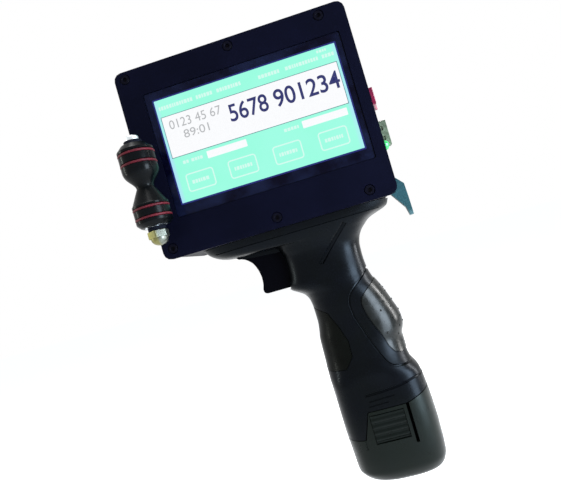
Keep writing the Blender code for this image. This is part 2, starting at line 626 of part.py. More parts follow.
# ---- Cartridge stall --------------------------------------------------------------------------------
def stall_posts():
    inset = 8.0
    return [(x, z) for x in (STALL_X[0] + inset, STALL_X[1] - inset)
            for z in (STALL_Z[0] + inset, STALL_Z[1] - inset)]


def cartridge_box():
    """The cartridge's own box: X, Y and Z ranges."""
    back = STALL_FLOOR_Y + TOUCH + CONTACT_T + SLIDE
    low = STALL_Z[0] + STALL_WALL + SLIDE
    return CARTRIDGE_X, (back, back + CARTRIDGE_THICK), (low, STALL_Z[1] - STALL_WALL - SLIDE)


def snout_ranges(gap=0.0):
    """Y and Z ranges of the cartridge's printing snout."""
    back = cartridge_box()[1][0] + 3.0
    half = SNOUT_HEIGHT / 2 + gap
    return (back - gap, back + SNOUT_THICK + gap), (SNOUT_Z - half, SNOUT_Z + half)


def cartridge_stall():
    outer = rounded(STALL_X, STALL_Z, STALL_CORNER)
    stall = prism("cartridge_stall", outer, *STALL_Y)
    inner_x = (STALL_X[0] + STALL_WALL, STALL_X[1] - STALL_WALL)
    inner_z = (STALL_Z[0] + STALL_WALL, STALL_Z[1] - STALL_WALL)
    cut(stall, prism("inside", rounded(inner_x, inner_z, 1.5), STALL_FLOOR_Y, STALL_Y[1] + 1))
    snout_y, snout_z = snout_ranges(SLIDE)
    cut(stall, block("snout_slot", (STALL_X[0] - 1, inner_x[0] + 1), (snout_y[0], STALL_Y[1] + 1), snout_z))
    cut(stall, block("lever_slot", (inner_x[1] - 1, STALL_X[1] + 1), (STALL_FLOOR_Y + 2, STALL_Y[1] + 1),
                     (inner_z[0], LATCH_Z + LATCH_HUB_R)))
    hub_y = (STALL_FLOOR_Y - 1, LATCH_Y - LATCH_THICK / 2 - TOUCH)
    join(stall, rod("latch_boss", (LATCH_X, LATCH_Z), LATCH_HUB_R, *hub_y, "Y"))
    cut(stall, rod("pin_hole", (LATCH_X, LATCH_Z), LATCH_PIN_R + TOUCH, STALL_FLOOR_Y, hub_y[1] + 1, "Y", 16))
    for x, z in stall_posts():
        join(stall, rod("post", (x, z), STALL_POST_R, COVER_Y[0] - 1.5, STALL_Y[0] + 1, "Y", 16))
    return finish(stall, "black_plastic")


def ink_cartridge():
    box_x, box_y, box_z = cartridge_box()
    body = prism("ink_cartridge", rounded(box_x, box_z, CARTRIDGE_CORNER), *box_y)
    snout_y, snout_z = snout_ranges()
    join(body, block("snout", (box_x[0] - SNOUT_LENGTH, box_x[0] + 1), snout_y, snout_z))
    grip_x = (box_x[1] - 16, box_x[1] - 4)
    for step in range(3):
        left = grip_x[0] + step * 4.4
        cut(body, block("grip_groove", (left, left + 2.2), (box_y[1] - 1.0, box_y[1] + 1),
                        (SNOUT_Z - 14, SNOUT_Z + 14)))
    finish(body, "ink_cartridge")
    face_x = box_x[0] - SNOUT_LENGTH - TOUCH
    middle_y = sum(snout_y) / 2
    nozzle = prism("nozzle_plate", rounded((middle_y - NOZZLE_W / 2, middle_y + NOZZLE_W / 2),
                                           (SNOUT_Z - NOZZLE_H / 2, SNOUT_Z + NOZZLE_H / 2), 0.8),
                   face_x - NOZZLE_T, face_x, "X")
    finish(nozzle, "nozzle_metal")


def contact_board():
    box_x = cartridge_box()[0]
    left = box_x[0] + 3
    low = SNOUT_Z - CONTACT_H / 2 - 4
    board_y = (STALL_FLOOR_Y + TOUCH, STALL_FLOOR_Y + TOUCH + CONTACT_T)
    board = block("contact_board", (left, left + CONTACT_W), board_y, (low, low + CONTACT_H))
    return finish(board, "board")


def latch():
    cartridge_end = cartridge_box()[0][1]
    foot_x = cartridge_end + SLIDE
    slope = [(foot_x, LATCH_Z - 17), (foot_x + 3.6, LATCH_Z - 20)]
    tail = [(2, -16), (13, -30), (26.8, -48.8), (33.3, -58.6), (34.6, -64.2), (36.7, -64.0), (36.5, -53),
            (36.1, -44), (31.6, -39), (27, -34), (17, -22.5), (LATCH_HUB_R, -8)]
    tail = [(LATCH_X + x, LATCH_Z + z) for x, z in tail]
    hub_top = [(LATCH_X + LATCH_HUB_R * math.cos(turn), LATCH_Z + LATCH_HUB_R * math.sin(turn))
               for turn in (math.radians(30 * step) for step in range(0, 7))]
    outline = slope + tail + hub_top + [(foot_x + 1.0, LATCH_Z - 8)]
    lever_y = (LATCH_Y - LATCH_THICK / 2, LATCH_Y + LATCH_THICK / 2)
    lever = prism("latch_lever", outline, *lever_y)
    cut(lever, rod("pin_hole", (LATCH_X, LATCH_Z), LATCH_PIN_R + TOUCH, lever_y[0] - 1, lever_y[1] + 1, "Y", 16))
    finish(lever, "teal_plastic")
    head = 1.6
    profile = [(0, STALL_FLOOR_Y + TOUCH), (LATCH_PIN_R, STALL_FLOOR_Y + TOUCH),
               (LATCH_PIN_R, lever_y[1] + TOUCH), (LATCH_PIN_R + 1.6, lever_y[1] + TOUCH),
               (LATCH_PIN_R + 1.6, lever_y[1] + TOUCH + head), (0, lever_y[1] + TOUCH + head)]
    finish(turned("latch_pin", profile, (LATCH_X, 0, LATCH_Z), "Y", 16), "bright_steel")


# ---- Guide roller -----------------------------------------------------------------------------------
def bracket_face_x():
    """The bracket's outer face, beside the plate's left edge."""
    return PLATE_X[0] - TOUCH - BRACKET_WEB


def bracket_screw_heights():
    return [ROLLER_Z[0] + height for height in BRACKET_SCREWS]


def bracket_screw_y():
    return (HOUSING_Y[0] + BRACKET_BACK_Y) / 2


def ring_radius():
    """Centre radius of a rubber ring in its groove."""
    return ROLLER_R + RING_R - RING_SINK - TOUCH


def guide_roller():
    low, top = ROLLER_Z
    ring_heights = [low + place for place in RING_PLACES]
    waist_z = low + ROLLER_WAIST
    shoulder_high = ring_heights[1] - RING_R - 1.6
    shoulder_low = ring_heights[2] + RING_R + 1.2
    outside = [(ROLLER_R - ROLLER_CHAMFER, top), (ROLLER_R, top - ROLLER_CHAMFER)]
    for height in ring_heights[:2]:
        outside += ring_groove(height)
    outside += [(ROLLER_R, shoulder_high)]
    fall = shoulder_high - waist_z
    for share, depth in ((0.35, 0.16), (0.65, 0.5), (0.88, 0.86)):
        outside.append((ROLLER_R - (ROLLER_R - ROLLER_WAIST_R) * depth, shoulder_high - fall * share))
    outside += [(ROLLER_WAIST_R, waist_z), (ROLLER_R, shoulder_low)]
    for height in ring_heights[2:]:
        outside += ring_groove(height)
    outside += [(ROLLER_R, low + ROLLER_CHAMFER), (ROLLER_R - ROLLER_CHAMFER, low)]
    seat = BEARING_R + TOUCH
    inside = [(seat, low), (seat, low + BEARING_H + TOUCH), (ROLLER_BORE_R, low + BEARING_H + TOUCH),
              (ROLLER_BORE_R, top - BEARING_H - TOUCH), (seat, top - BEARING_H - TOUCH), (seat, top)]
    roller = turned("guide_roller", outside + inside, (ROLLER_X, ROLLER_Y, 0), "Z", ROLLER_SIDES)
    finish(roller, "black_plastic")
    for number, height in enumerate(ring_heights, 1):
        section = [(ring_radius() + RING_R * math.cos(turn), height + RING_R * math.sin(turn))
                   for turn in (math.radians(72 * step) for step in range(5))]
        finish(turned(f"grip_ring_{number}", section, (ROLLER_X, ROLLER_Y, 0), "Z", ROLLER_SIDES), "ring_rubber")
    for name, low_z in (("upper", top - BEARING_H), ("lower", low)):
        inner = AXLE_R + BEARING_PLAY
        section = [(inner, low_z), (BEARING_R, low_z), (BEARING_R, low_z + BEARING_H), (inner, low_z + BEARING_H)]
        finish(turned(f"roller_bearing_{name}", section, (ROLLER_X, ROLLER_Y, 0), "Z"), "bright_steel")


def ring_groove(height):
    """The four corners of a ring's groove, from the top down."""
    half = RING_R + TOUCH
    floor = ring_radius() - RING_R - TOUCH
    return [(ROLLER_R, height + half), (floor, height + half), (floor, height - half), (ROLLER_R, height - half)]


def roller_bracket():
    arm_top = (ROLLER_Z[1] + TOUCH, ROLLER_Z[1] + TOUCH + ARM_THICK)
    arm_low = (ROLLER_Z[0] - TOUCH - ARM_THICK, ROLLER_Z[0] - TOUCH)
    face_x = bracket_face_x()
    web_front = ROLLER_Y + ROLLER_R + SLIDE * 1.5
    web_x = (face_x, face_x + BRACKET_WEB)
    bracket = block("roller_bracket", web_x, (web_front, BRACKET_BACK_Y), (arm_low[0], arm_top[1]))
    foot_x = (face_x + 1, HOUSING_X[0] - TOUCH)
    join(bracket, block("foot", foot_x, (HOUSING_Y[0], BRACKET_BACK_Y), (arm_low[0], arm_top[1])))
    for low, high in (arm_low, arm_top):
        boss = [point for point in circle((ROLLER_X, ROLLER_Y), ARM_BOSS_R, 24)]
        arm = prism("arm", boss, low, high, "Z")
        side = ROLLER_X + ARM_BOSS_R * 0.6
        strip = [(face_x, web_front + 4), (face_x, web_front), (ROLLER_X - ARM_BOSS_R * 0.95, ROLLER_Y),
                 (ROLLER_X + ARM_BOSS_R * 0.9, ROLLER_Y), (side, ROLLER_Y + ARM_BOSS_R), (web_x[1], web_front + 4)]
        join(arm, prism("strip", strip, low, high, "Z"))
        cut(arm, rod("axle_hole", (ROLLER_X, ROLLER_Y), AXLE_R + TOUCH, low - 1, high + 1, "Z"))
        join(bracket, arm)
    for number, z in enumerate(bracket_screw_heights(), 1):
        cut(bracket, screw_hole(face_x, bracket_screw_y(), z, "-X"))
        screw(f"bracket_screw_{number}", face_x, bracket_screw_y(), z, "-X")
    finish(bracket, "black_aluminium")

    head_z = arm_top[1] + TOUCH
    nut_top = arm_low[0] - TOUCH
    tail = nut_top - NUT_HEIGHT + 2.4
    profile = [(0, tail), (AXLE_R, tail), (AXLE_R, head_z), (AXLE_HEAD_R, head_z),
               (AXLE_HEAD_R, head_z + AXLE_HEAD_H - 0.7), (AXLE_HEAD_R - 0.9, head_z + AXLE_HEAD_H),
               (0, head_z + AXLE_HEAD_H)]
    finish(turned("roller_axle", profile, (ROLLER_X, ROLLER_Y, 0)), "bright_steel")

    nut = prism("dome_nut", circle((ROLLER_X, ROLLER_Y), NUT_R, 6), nut_top - NUT_HEX_H, nut_top, "Z")
    dome = NUT_HEIGHT - NUT_HEX_H
    wide = NUT_R * 0.82
    cap = [(0, nut_top - NUT_HEIGHT)]
    cap += [(wide * math.sin(turn), nut_top - NUT_HEX_H - dome * math.cos(turn))
            for turn in (math.radians(angle) for angle in (25, 50, 75))]
    cap += [(wide, nut_top - NUT_HEX_H + 1), (0, nut_top - NUT_HEX_H + 1)]
    join(nut, turned("cap", cap, (ROLLER_X, ROLLER_Y, 0), "Z", 20))
    cut(nut, rod("thread", (ROLLER_X, ROLLER_Y), AXLE_R + TOUCH, tail - TOUCH, nut_top + 1, "Z"))
    finish(nut, "bright_steel")


# ---- Grip -------------------------------------------------------------------------------------------
def grip_section(station, inset):
    """The points round one height of the grip, moved inwards by inset."""
    height, front, back, half, squareness = station
    middle = (front + back) / 2
    reach_x = (back - front) / 2 - inset
    reach_y = half - inset
    power = 2 / squareness
    points = []
    for index in range(GRIP_POINTS):
        turn = 2 * math.pi * index / GRIP_POINTS
        c, s = math.cos(turn), math.sin(turn)
        points.append((middle + reach_x * math.copysign(abs(c) ** power, c),
                       reach_y * math.copysign(abs(s) ** power, s), height))
    return points


def grip_loft(name, inset=0.0, low=-1.0, high=1000.0):
    """The grip's smooth body between two heights, moved inwards by inset."""
    stations = [list(station) for station in GRIP_STATIONS if low <= station[0] <= high]
    shape = bmesh.new()
    rings = [[shape.verts.new(point) for point in grip_section(station, inset)] for station in stations]
    for lower, upper in zip(rings[:-1], rings[1:]):
        for index in range(GRIP_POINTS):
            after = (index + 1) % GRIP_POINTS
            shape.faces.new([lower[index], lower[after], upper[after], upper[index]])
    shape.faces.new(rings[0])
    shape.faces.new(rings[-1])
    return new_object(name, shape)


def below_parting(name, shift=0.0):
    """The space below the line where the battery leaves the handle."""
    outline = [(x - shift, z + shift) for x, z in PARTING]
    outline += [(PARTING[-1][0], -10.0), (PARTING[0][0] - shift, -10.0)]
    return prism(name, outline, -40, 40)


def neck_outline(gap=0.0):
    half = NECK_LENGTH / 2 + gap
    return rounded((NECK_CENTRE_X - half, NECK_CENTRE_X + half), (-NECK_HALF - gap, NECK_HALF + gap), NECK_CORNER)


def pad_piece(name, outline):
    """A rubber skin let into the handle inside an outline."""
    skin = keep(prism(name, list(outline), -40, 40), grip_loft("outside"))
    return finish(cut(skin, grip_loft("inside", PAD_THICK)), "grip_rubber")


def handle_body():
    """The handle before it is split, with everything that both halves hold cut out of it."""
    body = cut(grip_loft("handle"), below_parting("battery_space", SLIDE))
    for outline in (PAD_OUTLINE, FRONT_GRIP_OUTLINE):
        recess = prism("recess", grow(list(outline), TOUCH), -40, 40)
        cut(body, cut(recess, grip_loft("core", PAD_THICK + TOUCH)))
    block_x = (NECK_CENTRE_X - BLOCK_LENGTH / 2 - TOUCH, NECK_CENTRE_X + BLOCK_LENGTH / 2 + TOUCH)
    block_z = terminal_block_z()
    cut(body, prism("neck_space", neck_outline(SLIDE), 0, NECK_TOP_Z + SLIDE, "Z"))
    cut(body, block("block_space", block_x, (-BLOCK_HALF - TOUCH, BLOCK_HALF + TOUCH),
                    (NECK_TOP_Z, block_z[1] + TOUCH)))
    hollow = grip_loft("hollow", PAD_THICK + WALL + TOUCH, *HOLLOW_Z)
    for x, z in HANDLE_SCREWS:
        cut(hollow, rod("pillar", (x, z), SCREW_HEAD_R + 1.6, -40, 40, "Y", 16))
    cut(body, hollow)
    channel = block("channel", WIRE_CHANNEL_X, (-WIRE_CHANNEL_HALF, WIRE_CHANNEL_HALF),
                    (WIRE_CHANNEL_FLOOR_Z, HANDLE_TOP_Z + 1))
    cut(body, channel)
    back = TRIGGER_BACK_X + TRIGGER_TRAVEL + SLIDE
    low, high = trigger_z()
    cut(body, block("trigger_space", (-60.0, back), (-TRIGGER_HALF - SLIDE, TRIGGER_HALF + SLIDE),
                    (low - SLIDE, high + SLIDE)))
    switch_x, switch_z = switch_box()
    cut(body, block("switch_space", (back - 1, WIRE_CHANNEL_X[0] + 1),
                    (-SWITCH_BOX_HALF - TOUCH, SWITCH_BOX_HALF + TOUCH),
                    (switch_z[0] - TOUCH, switch_z[1] + TOUCH)))
    for x in FLANGE_POSTS:
        for y in (-FLANGE_POST_Y, FLANGE_POST_Y):
            join(body, rod("flange_post", (x, y), FLANGE_POST_R, HANDLE_TOP_Z - 1,
                           HOUSING_Z[0] + FLANGE_POST_H, "Z", 16))
    for x, z in HANDLE_SCREWS:
        cut(body, screw_hole(x, HANDLE_HEAD_Y, z, "+Y", HANDLE_SCREW_LENGTH))
        cut(body, rod("counterbore", (x, z), SCREW_HEAD_R + TOUCH, HANDLE_HEAD_Y, 40, "Y", 16))
    return body


def handle_halves():
    body = handle_body()
    for name, side in (("handle_half_front", -1), ("handle_half_rear", 1)):
        half = bpy.data.objects.new(name, body.data.copy())
        bpy.context.collection.objects.link(half)
        y_range = sorted((side * SPLIT, side * 60.0))
        keep(half, block("side", (-100, 100), y_range, (-20, 200)))
        finish(half, "black_plastic")
    bpy.data.objects.remove(body)
    for number, (x, z) in enumerate(HANDLE_SCREWS, 1):
        screw(f"handle_screw_{number}", x, HANDLE_HEAD_Y, z, "+Y", HANDLE_SCREW_LENGTH - 1)
    pad_piece("palm_pad", PAD_OUTLINE)
    pad_piece("front_grip", FRONT_GRIP_OUTLINE)


# ---- Trigger ----------------------------------------------------------------------------------------
def trigger_z():
    heights = [z for _, z in TRIGGER_FRONT]
    return min(heights), max(heights)


def switch_box():
    left = TRIGGER_BACK_X + TRIGGER_TRAVEL + SLIDE + TOUCH
    return (left, left + SWITCH_BOX_L), (SWITCH_BOX_Z - SWITCH_BOX_H / 2, SWITCH_BOX_Z + SWITCH_BOX_H / 2)


def trigger():
    low, high = trigger_z()
    outline = list(TRIGGER_FRONT) + [(TRIGGER_BACK_X, low), (TRIGGER_BACK_X, high)]
    body = prism("trigger", outline, -TRIGGER_HALF, TRIGGER_HALF)
    bore_x = (TRIGGER_BACK_X - SPRING_BORE_DEPTH, TRIGGER_BACK_X + 1)
    cut(body, rod("spring_bore", (0, SPRING_Z), SPRING_BORE_R, *bore_x, "X", 20))
    finish(body, "black_plastic")

    switch_x, switch_z = switch_box()
    box = block("trigger_switch", switch_x, (-SWITCH_BOX_HALF, SWITCH_BOX_HALF), switch_z)
    for y in (-1.6, 1.6):
        join(box, block("lug", (switch_x[1] - 1, switch_x[1] + 2), (y - 0.4, y + 0.4),
                        (SWITCH_BOX_Z - 2, SWITCH_BOX_Z + 2)))
    finish(box, "black_plastic")


def trigger_spring():
    """A compression spring between the trigger's bore and the wall behind it."""
    start = TRIGGER_BACK_X - SPRING_BORE_DEPTH + SPRING_WIRE_R + TOUCH
    end = TRIGGER_BACK_X + TRIGGER_TRAVEL + SLIDE - SPRING_WIRE_R - TOUCH
    count = SPRING_TURNS * 10
    curve = bpy.data.curves.new("trigger_spring", "CURVE")
    curve.dimensions = "3D"
    spline = curve.splines.new("POLY")
    spline.points.add(count)
    for index in range(count + 1):
        turn = 2 * math.pi * SPRING_TURNS * index / count
        x = start + (end - start) * index / count
        point = (x, SPRING_R * math.cos(turn), SPRING_Z + SPRING_R * math.sin(turn))
        spline.points[index].co = (*[value * MM for value in point], 1.0)
    curve.bevel_depth = SPRING_WIRE_R * MM
    curve.bevel_resolution = 1
    curve.use_fill_caps = True
    wire = bpy.data.objects.new("trigger_spring", curve)
    bpy.context.collection.objects.link(wire)
    return finish(wire, "bright_steel")


# ---- Battery ----------------------------------------------------------------------------------------
def terminal_block_z():
    return NECK_TOP_Z + SLIDE + TOUCH, NECK_TOP_Z + SLIDE + TOUCH + BLOCK_HEIGHT


def battery():
    case = keep(grip_loft("battery_case"), below_parting("battery_space"))
    join(case, prism("neck", neck_outline(), 20.0, NECK_TOP_Z, "Z"))
    half = NECK_LENGTH / 2 - NECK_WALL
    inside = rounded((NECK_CENTRE_X - half, NECK_CENTRE_X + half), (-NECK_HALF + NECK_WALL, NECK_HALF - NECK_WALL),
                     NECK_CORNER - NECK_WALL)
    cut(case, prism("inside", inside, CELL_FLOOR_Z - TOUCH, NECK_TOP_Z - NECK_LID, "Z"))
    for x in (-TERMINAL_X, TERMINAL_X):
        centre = NECK_CENTRE_X + x
        cut(case, block("slot", (centre - TERMINAL_W / 2 - TOUCH, centre + TERMINAL_W / 2 + TOUCH),
                        (-TERMINAL_T / 2 - TOUCH, TERMINAL_T / 2 + TOUCH), (NECK_TOP_Z - 3, NECK_TOP_Z + 1)))
    for side in (-1, 1):
        cut(case, tab_space(side))
    finish(case, "battery_plastic")
    cells()
    terminals()
    for name, side in (("front", -1), ("rear", 1)):
        latch_tab(name, side)


def tab_space(side):
    """The pocket in the case's wall that a latch tab moves in."""
    y_range = sorted((side * TAB_FLOOR_Y, side * 40.0))
    return block("tab_space", (TAB_LEFT_X - TOUCH, TAB_LEFT_X + TAB_WIDTH + TOUCH), y_range,
                 (TAB_BOTTOM_Z - TOUCH, TAB_BOTTOM_Z + TAB_HEIGHT + SLIDE * 2))


def latch_tab(name, side):
    """A ribbed tab that is pressed in to free the battery; it hinges at its lower edge."""
    faces = sorted((side * (TAB_FACE_Y - TAB_THICK), side * TAB_FACE_Y))
    tab = block(f"battery_latch_{name}", (TAB_LEFT_X, TAB_LEFT_X + TAB_WIDTH), faces,
                (TAB_BOTTOM_Z, TAB_BOTTOM_Z + TAB_HEIGHT))
    foot = sorted((side * (TAB_FLOOR_Y + TOUCH), side * (TAB_FACE_Y - TAB_THICK + 0.5)))
    join(tab, block("foot", (TAB_LEFT_X, TAB_LEFT_X + TAB_WIDTH), foot, (TAB_BOTTOM_Z, TAB_BOTTOM_Z + 2.0)))
    return finish(tab, "battery_plastic")


def cells():
    """Three round cells standing in a triangle inside the battery's neck."""
    pitch = 2 * CELL_R + CELL_GAP
    rise = pitch * math.sqrt(3) / 2
    places = [(-pitch / 2, -rise / 2), (pitch / 2, -rise / 2), (0.0, rise / 2)]
    low, high = CELL_FLOOR_Z, CELL_FLOOR_Z + CELL_LENGTH
    profile = [(0, low), (CELL_R, low), (CELL_R, high - 0.8), (3.0, high - 0.8), (3.0, high), (0, high)]
    for number, (x, y) in enumerate(places, 1):
        finish(turned(f"battery_cell_{number}", profile, (NECK_CENTRE_X + x, y, 0), "Z", 20), "cell_wrap")


def terminals():
    top = NECK_TOP_Z + TERMINAL_REACH
    low_z, high_z = terminal_block_z()
    housing = block("terminal_block", (NECK_CENTRE_X - BLOCK_LENGTH / 2, NECK_CENTRE_X + BLOCK_LENGTH / 2),
                    (-BLOCK_HALF, BLOCK_HALF), (low_z, high_z))
    for number, offset in enumerate((-TERMINAL_X, TERMINAL_X), 1):
        x = NECK_CENTRE_X + offset
        blade = block(f"battery_terminal_{number}", (x - TERMINAL_W / 2, x + TERMINAL_W / 2),
                      (-TERMINAL_T / 2, TERMINAL_T / 2), (CELL_FLOOR_Z + CELL_LENGTH + TOUCH, top))
        finish(blade, "bright_steel")
        cut(housing, block("slot", (x - TERMINAL_W / 2 - SLIDE, x + TERMINAL_W / 2 + SLIDE),
                           (-TERMINAL_T / 2 - SLIDE, TERMINAL_T / 2 + SLIDE), (low_z - 1, top + SLIDE)))
    finish(housing, "black_plastic")


# ---- Build ------------------------------------------------------------------------------------------
def main():
    for obj in list(bpy.data.objects):
        bpy.data.objects.remove(obj)
    front_plate()
    plate_screws()
    housing_shell()
    rear_cover()
    display_stack()
    rocker_switch()
    usb_socket()
    indicator_lamp()
    cartridge_stall()
    ink_cartridge()
    contact_board()
    latch()
    guide_roller()
    roller_bracket()
    handle_halves()
    trigger()
    trigger_spring()
    battery()


main()
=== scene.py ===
import json
import math
import random

import bmesh
import bpy
from mathutils import Matrix, Vector
from mathutils.bvhtree import BVHTree


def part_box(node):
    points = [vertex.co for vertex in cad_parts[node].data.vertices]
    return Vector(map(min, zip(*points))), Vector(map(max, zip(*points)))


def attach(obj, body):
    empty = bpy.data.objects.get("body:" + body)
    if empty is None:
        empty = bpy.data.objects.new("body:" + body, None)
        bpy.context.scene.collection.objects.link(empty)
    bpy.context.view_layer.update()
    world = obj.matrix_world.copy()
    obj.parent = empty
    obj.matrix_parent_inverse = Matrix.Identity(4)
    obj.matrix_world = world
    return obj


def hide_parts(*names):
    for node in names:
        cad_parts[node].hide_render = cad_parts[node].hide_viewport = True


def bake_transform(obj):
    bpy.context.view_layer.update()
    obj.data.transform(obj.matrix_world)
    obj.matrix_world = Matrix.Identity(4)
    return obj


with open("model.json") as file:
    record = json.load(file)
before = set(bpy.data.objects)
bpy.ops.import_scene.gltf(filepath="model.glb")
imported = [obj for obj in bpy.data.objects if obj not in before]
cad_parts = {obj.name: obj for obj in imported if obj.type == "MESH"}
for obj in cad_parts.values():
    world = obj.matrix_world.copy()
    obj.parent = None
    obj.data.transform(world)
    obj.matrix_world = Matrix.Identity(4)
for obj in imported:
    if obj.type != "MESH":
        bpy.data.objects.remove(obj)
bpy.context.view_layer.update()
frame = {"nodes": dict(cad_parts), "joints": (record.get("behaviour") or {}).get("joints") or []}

MM = 0.001             # shapes are made in millimetres and scaled when they are shown
AXES = {"X": Vector((1, 0, 0)), "Y": Vector((0, 1, 0)), "Z": Vector((0, 0, 1))}
AROUND = 64            # steps round a turned piece
SHARP = 34             # degrees past which an edge stays sharp
LINE_GAP = 0.3         # gap between pieces that rest on each other


def low_high(node):
    """A CAD node's lowest and highest corners, in millimetres."""
    return [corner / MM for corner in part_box(node)]


def hinge_place(joint):
    """The point that a joint turns about, in millimetres."""
    found = [entry for entry in frame["joints"] if entry["name"] == joint][0]
    return Vector(found["pos_m"]) / MM


def middle(node):
    low, high = low_high(node)
    return (low + high) / 2


# ---- Finishes ---------------------------------------------------------------------------------------
def linear(red, green, blue):
    """Screen values from 0 to 255 as the shader's linear colour."""
    values = [value / 255 for value in (red, green, blue)]
    return [v / 12.92 if v <= 0.04045 else ((v + 0.055) / 1.055) ** 2.4 for v in values]


class Finish:
    """A material that is built up from a base colour by the methods below."""

    def __init__(self, name, colour, roughness, metallic=0.0, specular=0.5):
        self.material = bpy.data.materials.new(name)
        self.material.use_nodes = True
        self.nodes = self.material.node_tree.nodes
        self.links = self.material.node_tree.links
        self.shader = self.nodes["Principled BSDF"]
        self.shader.inputs["Metallic"].default_value = metallic
        self.shader.inputs["Specular IOR Level"].default_value = specular
        self.shader.inputs["Roughness"].default_value = roughness
        self.roughness = roughness
        self.place = self.nodes.new("ShaderNodeTexCoord").outputs["Object"]
        self.height = None
        self.colour = self.nodes.new("ShaderNodeMix")
        self.colour.data_type = "RGBA"
        self.colour.inputs[0].default_value = 0.0
        self.colour.inputs[6].default_value = (*linear(*colour), 1)
        self.colour.inputs[7].default_value = (*linear(*colour), 1)
        self.base = self.colour.outputs[2]
        self.links.new(self.base, self.shader.inputs["Base Color"])

    def noise(self, size, detail=3.0, stretch=(1, 1, 1)):
        """Noise with spots about size millimetres wide."""
        mapping = self.nodes.new("ShaderNodeMapping")
        mapping.inputs["Scale"].default_value = stretch
        self.links.new(self.place, mapping.inputs["Vector"])
        noise = self.nodes.new("ShaderNodeTexNoise")
        noise.inputs["Scale"].default_value = 1 / (size * MM)
        noise.inputs["Detail"].default_value = detail
        self.links.new(mapping.outputs[0], noise.inputs["Vector"])
        return noise.outputs["Fac"]

    def spread(self, value, low, high, bottom=0.35, top=0.65):
        """Stretch a noise value from bottom..top to low..high."""
        scale = self.nodes.new("ShaderNodeMapRange")
        for socket, number in zip(scale.inputs[1:5], (bottom, top, low, high)):
            socket.default_value = number
        self.links.new(value, scale.inputs[0])
        return scale.outputs[0]

    def over(self, colour, share):
        """Lay a colour over the base by a share that varies."""
        mix = self.nodes.new("ShaderNodeMix")
        mix.data_type = "RGBA"
        mix.inputs[7].default_value = (*linear(*colour), 1)
        self.links.new(share, mix.inputs[0])
        self.links.new(self.base, mix.inputs[6])
        self.base = mix.outputs[2]
        self.links.new(self.base, self.shader.inputs["Base Color"])
        return self

    def mottle(self, colour, size, most, stretch=(1, 1, 1)):
        """Broad soft patches of another colour."""
        return self.over(colour, self.spread(self.noise(size, 4.0, stretch), 0.0, most))

    def worn(self, colour, most, start=0.53, end=0.6):
        """A lighter line along the outer edges."""
        edge = self.nodes.new("ShaderNodeNewGeometry").outputs["Pointiness"]
        return self.over(colour, self.spread(edge, 0.0, most, start, end))

    def smudge(self, size, change):
        """Roughness that rises and falls in patches, as handling leaves it."""
        level = self.spread(self.noise(size, 5.0), self.roughness - change, self.roughness + change)
        self.links.new(level, self.shader.inputs["Roughness"])
        return self

    def grain(self, size, depth, detail=2.0, stretch=(1, 1, 1)):
        """A fine raised grain, size and depth in millimetres."""
        bump = self.nodes.new("ShaderNodeBump")
        bump.inputs["Distance"].default_value = depth * MM
        bump.inputs["Strength"].default_value = 1.0
        self.links.new(self.noise(size, detail, stretch), bump.inputs["Height"])
        if self.height is not None:
            self.links.new(self.height, bump.inputs["Normal"])
        self.height = bump.outputs[0]
        self.links.new(self.height, self.shader.inputs["Normal"])
        return self

    def glow(self, colour, strength):
        self.shader.inputs["Emission Color"].default_value = (*linear(*colour), 1)
        self.shader.inputs["Emission Strength"].default_value = strength
        return self

    def glow_as_base(self, strength):
        """The face gives out its colours, and is near black with the light off."""
        self.links.new(self.base, self.shader.inputs["Emission Color"])
        self.links.remove(self.shader.inputs["Base Color"].links[0])
        self.shader.inputs["Base Color"].default_value = (0.004, 0.004, 0.006, 1)
        self.shader.inputs["Emission Strength"].default_value = strength
        return self

    def across(self, axis, low, high, colours):
        """Colours that change along an axis from low to high, in millimetres."""
        split = self.nodes.new("ShaderNodeSeparateXYZ")
        self.links.new(self.place, split.inputs[0])
        share = self.spread(split.outputs["XYZ".index(axis)], 0.0, 1.0, low * MM, high * MM)
        ramp = self.nodes.new("ShaderNodeValToRGB")
        stops = ramp.color_ramp.elements
        while len(stops) < len(colours):
            stops.new(0.5)
        for stop, (position, colour) in zip(stops, colours):
            stop.position = position
            stop.color = (*linear(*colour), 1)
        self.links.new(share, ramp.inputs[0])
        self.base = ramp.outputs[0]
        self.links.new(self.base, self.shader.inputs["Base Color"])
        return self

    def ready(self):
        return self.material


def black_sheet(name, colour, roughness):
    """Anodised sheet: a navy black with a dry, fine grain and lighter edges."""
    finish = Finish(name, colour, roughness, specular=0.02).mottle((13, 14, 32), 22, 0.35)
    return finish.worn((44, 48, 60), 0.2).smudge(14, 0.05).grain(0.35, 0.012).ready()


def moulding(name, colour, roughness, grain=0.5, depth=0.02, patch=(22, 25, 25), specular=0.15,
             gloss=(255, 255, 255)):
    """Satin moulded plastic with a spark-eroded grain."""
    finish = Finish(name, colour, roughness, specular=specular).mottle(patch, 16, 0.4)
    finish.shader.inputs["Specular Tint"].default_value = (*linear(*gloss), 1)
    return finish.smudge(9, 0.05).grain(grain, depth).ready()


def soft_rubber(name, colour, roughness, specular=0.12):
    finish = Finish(name, colour, roughness, specular=specular).mottle((6, 9, 8), 8, 0.4)
    return finish.smudge(5, 0.05).grain(0.8, 0.015, 3.0).ready()


def bright_metal(name, colour, roughness, tint):
    """Turned or plated metal with fine tool lines and a faint tarnish."""
    finish = Finish(name, colour, roughness, metallic=1.0).mottle(tint, 3, 0.5)
    return finish.smudge(2, 0.05).grain(0.25, 0.004, 2.0, (0.2, 0.2, 3)).ready()


def lit(name, colour, strength):
    """A part of the display's face: a bright colour with a faint mottle, which gives out light."""
    finish = Finish(name, colour, 0.3, specular=0.15)
    return finish.mottle([value * 0.95 for value in colour], 0.5, 0.5).glow_as_base(strength).ready()


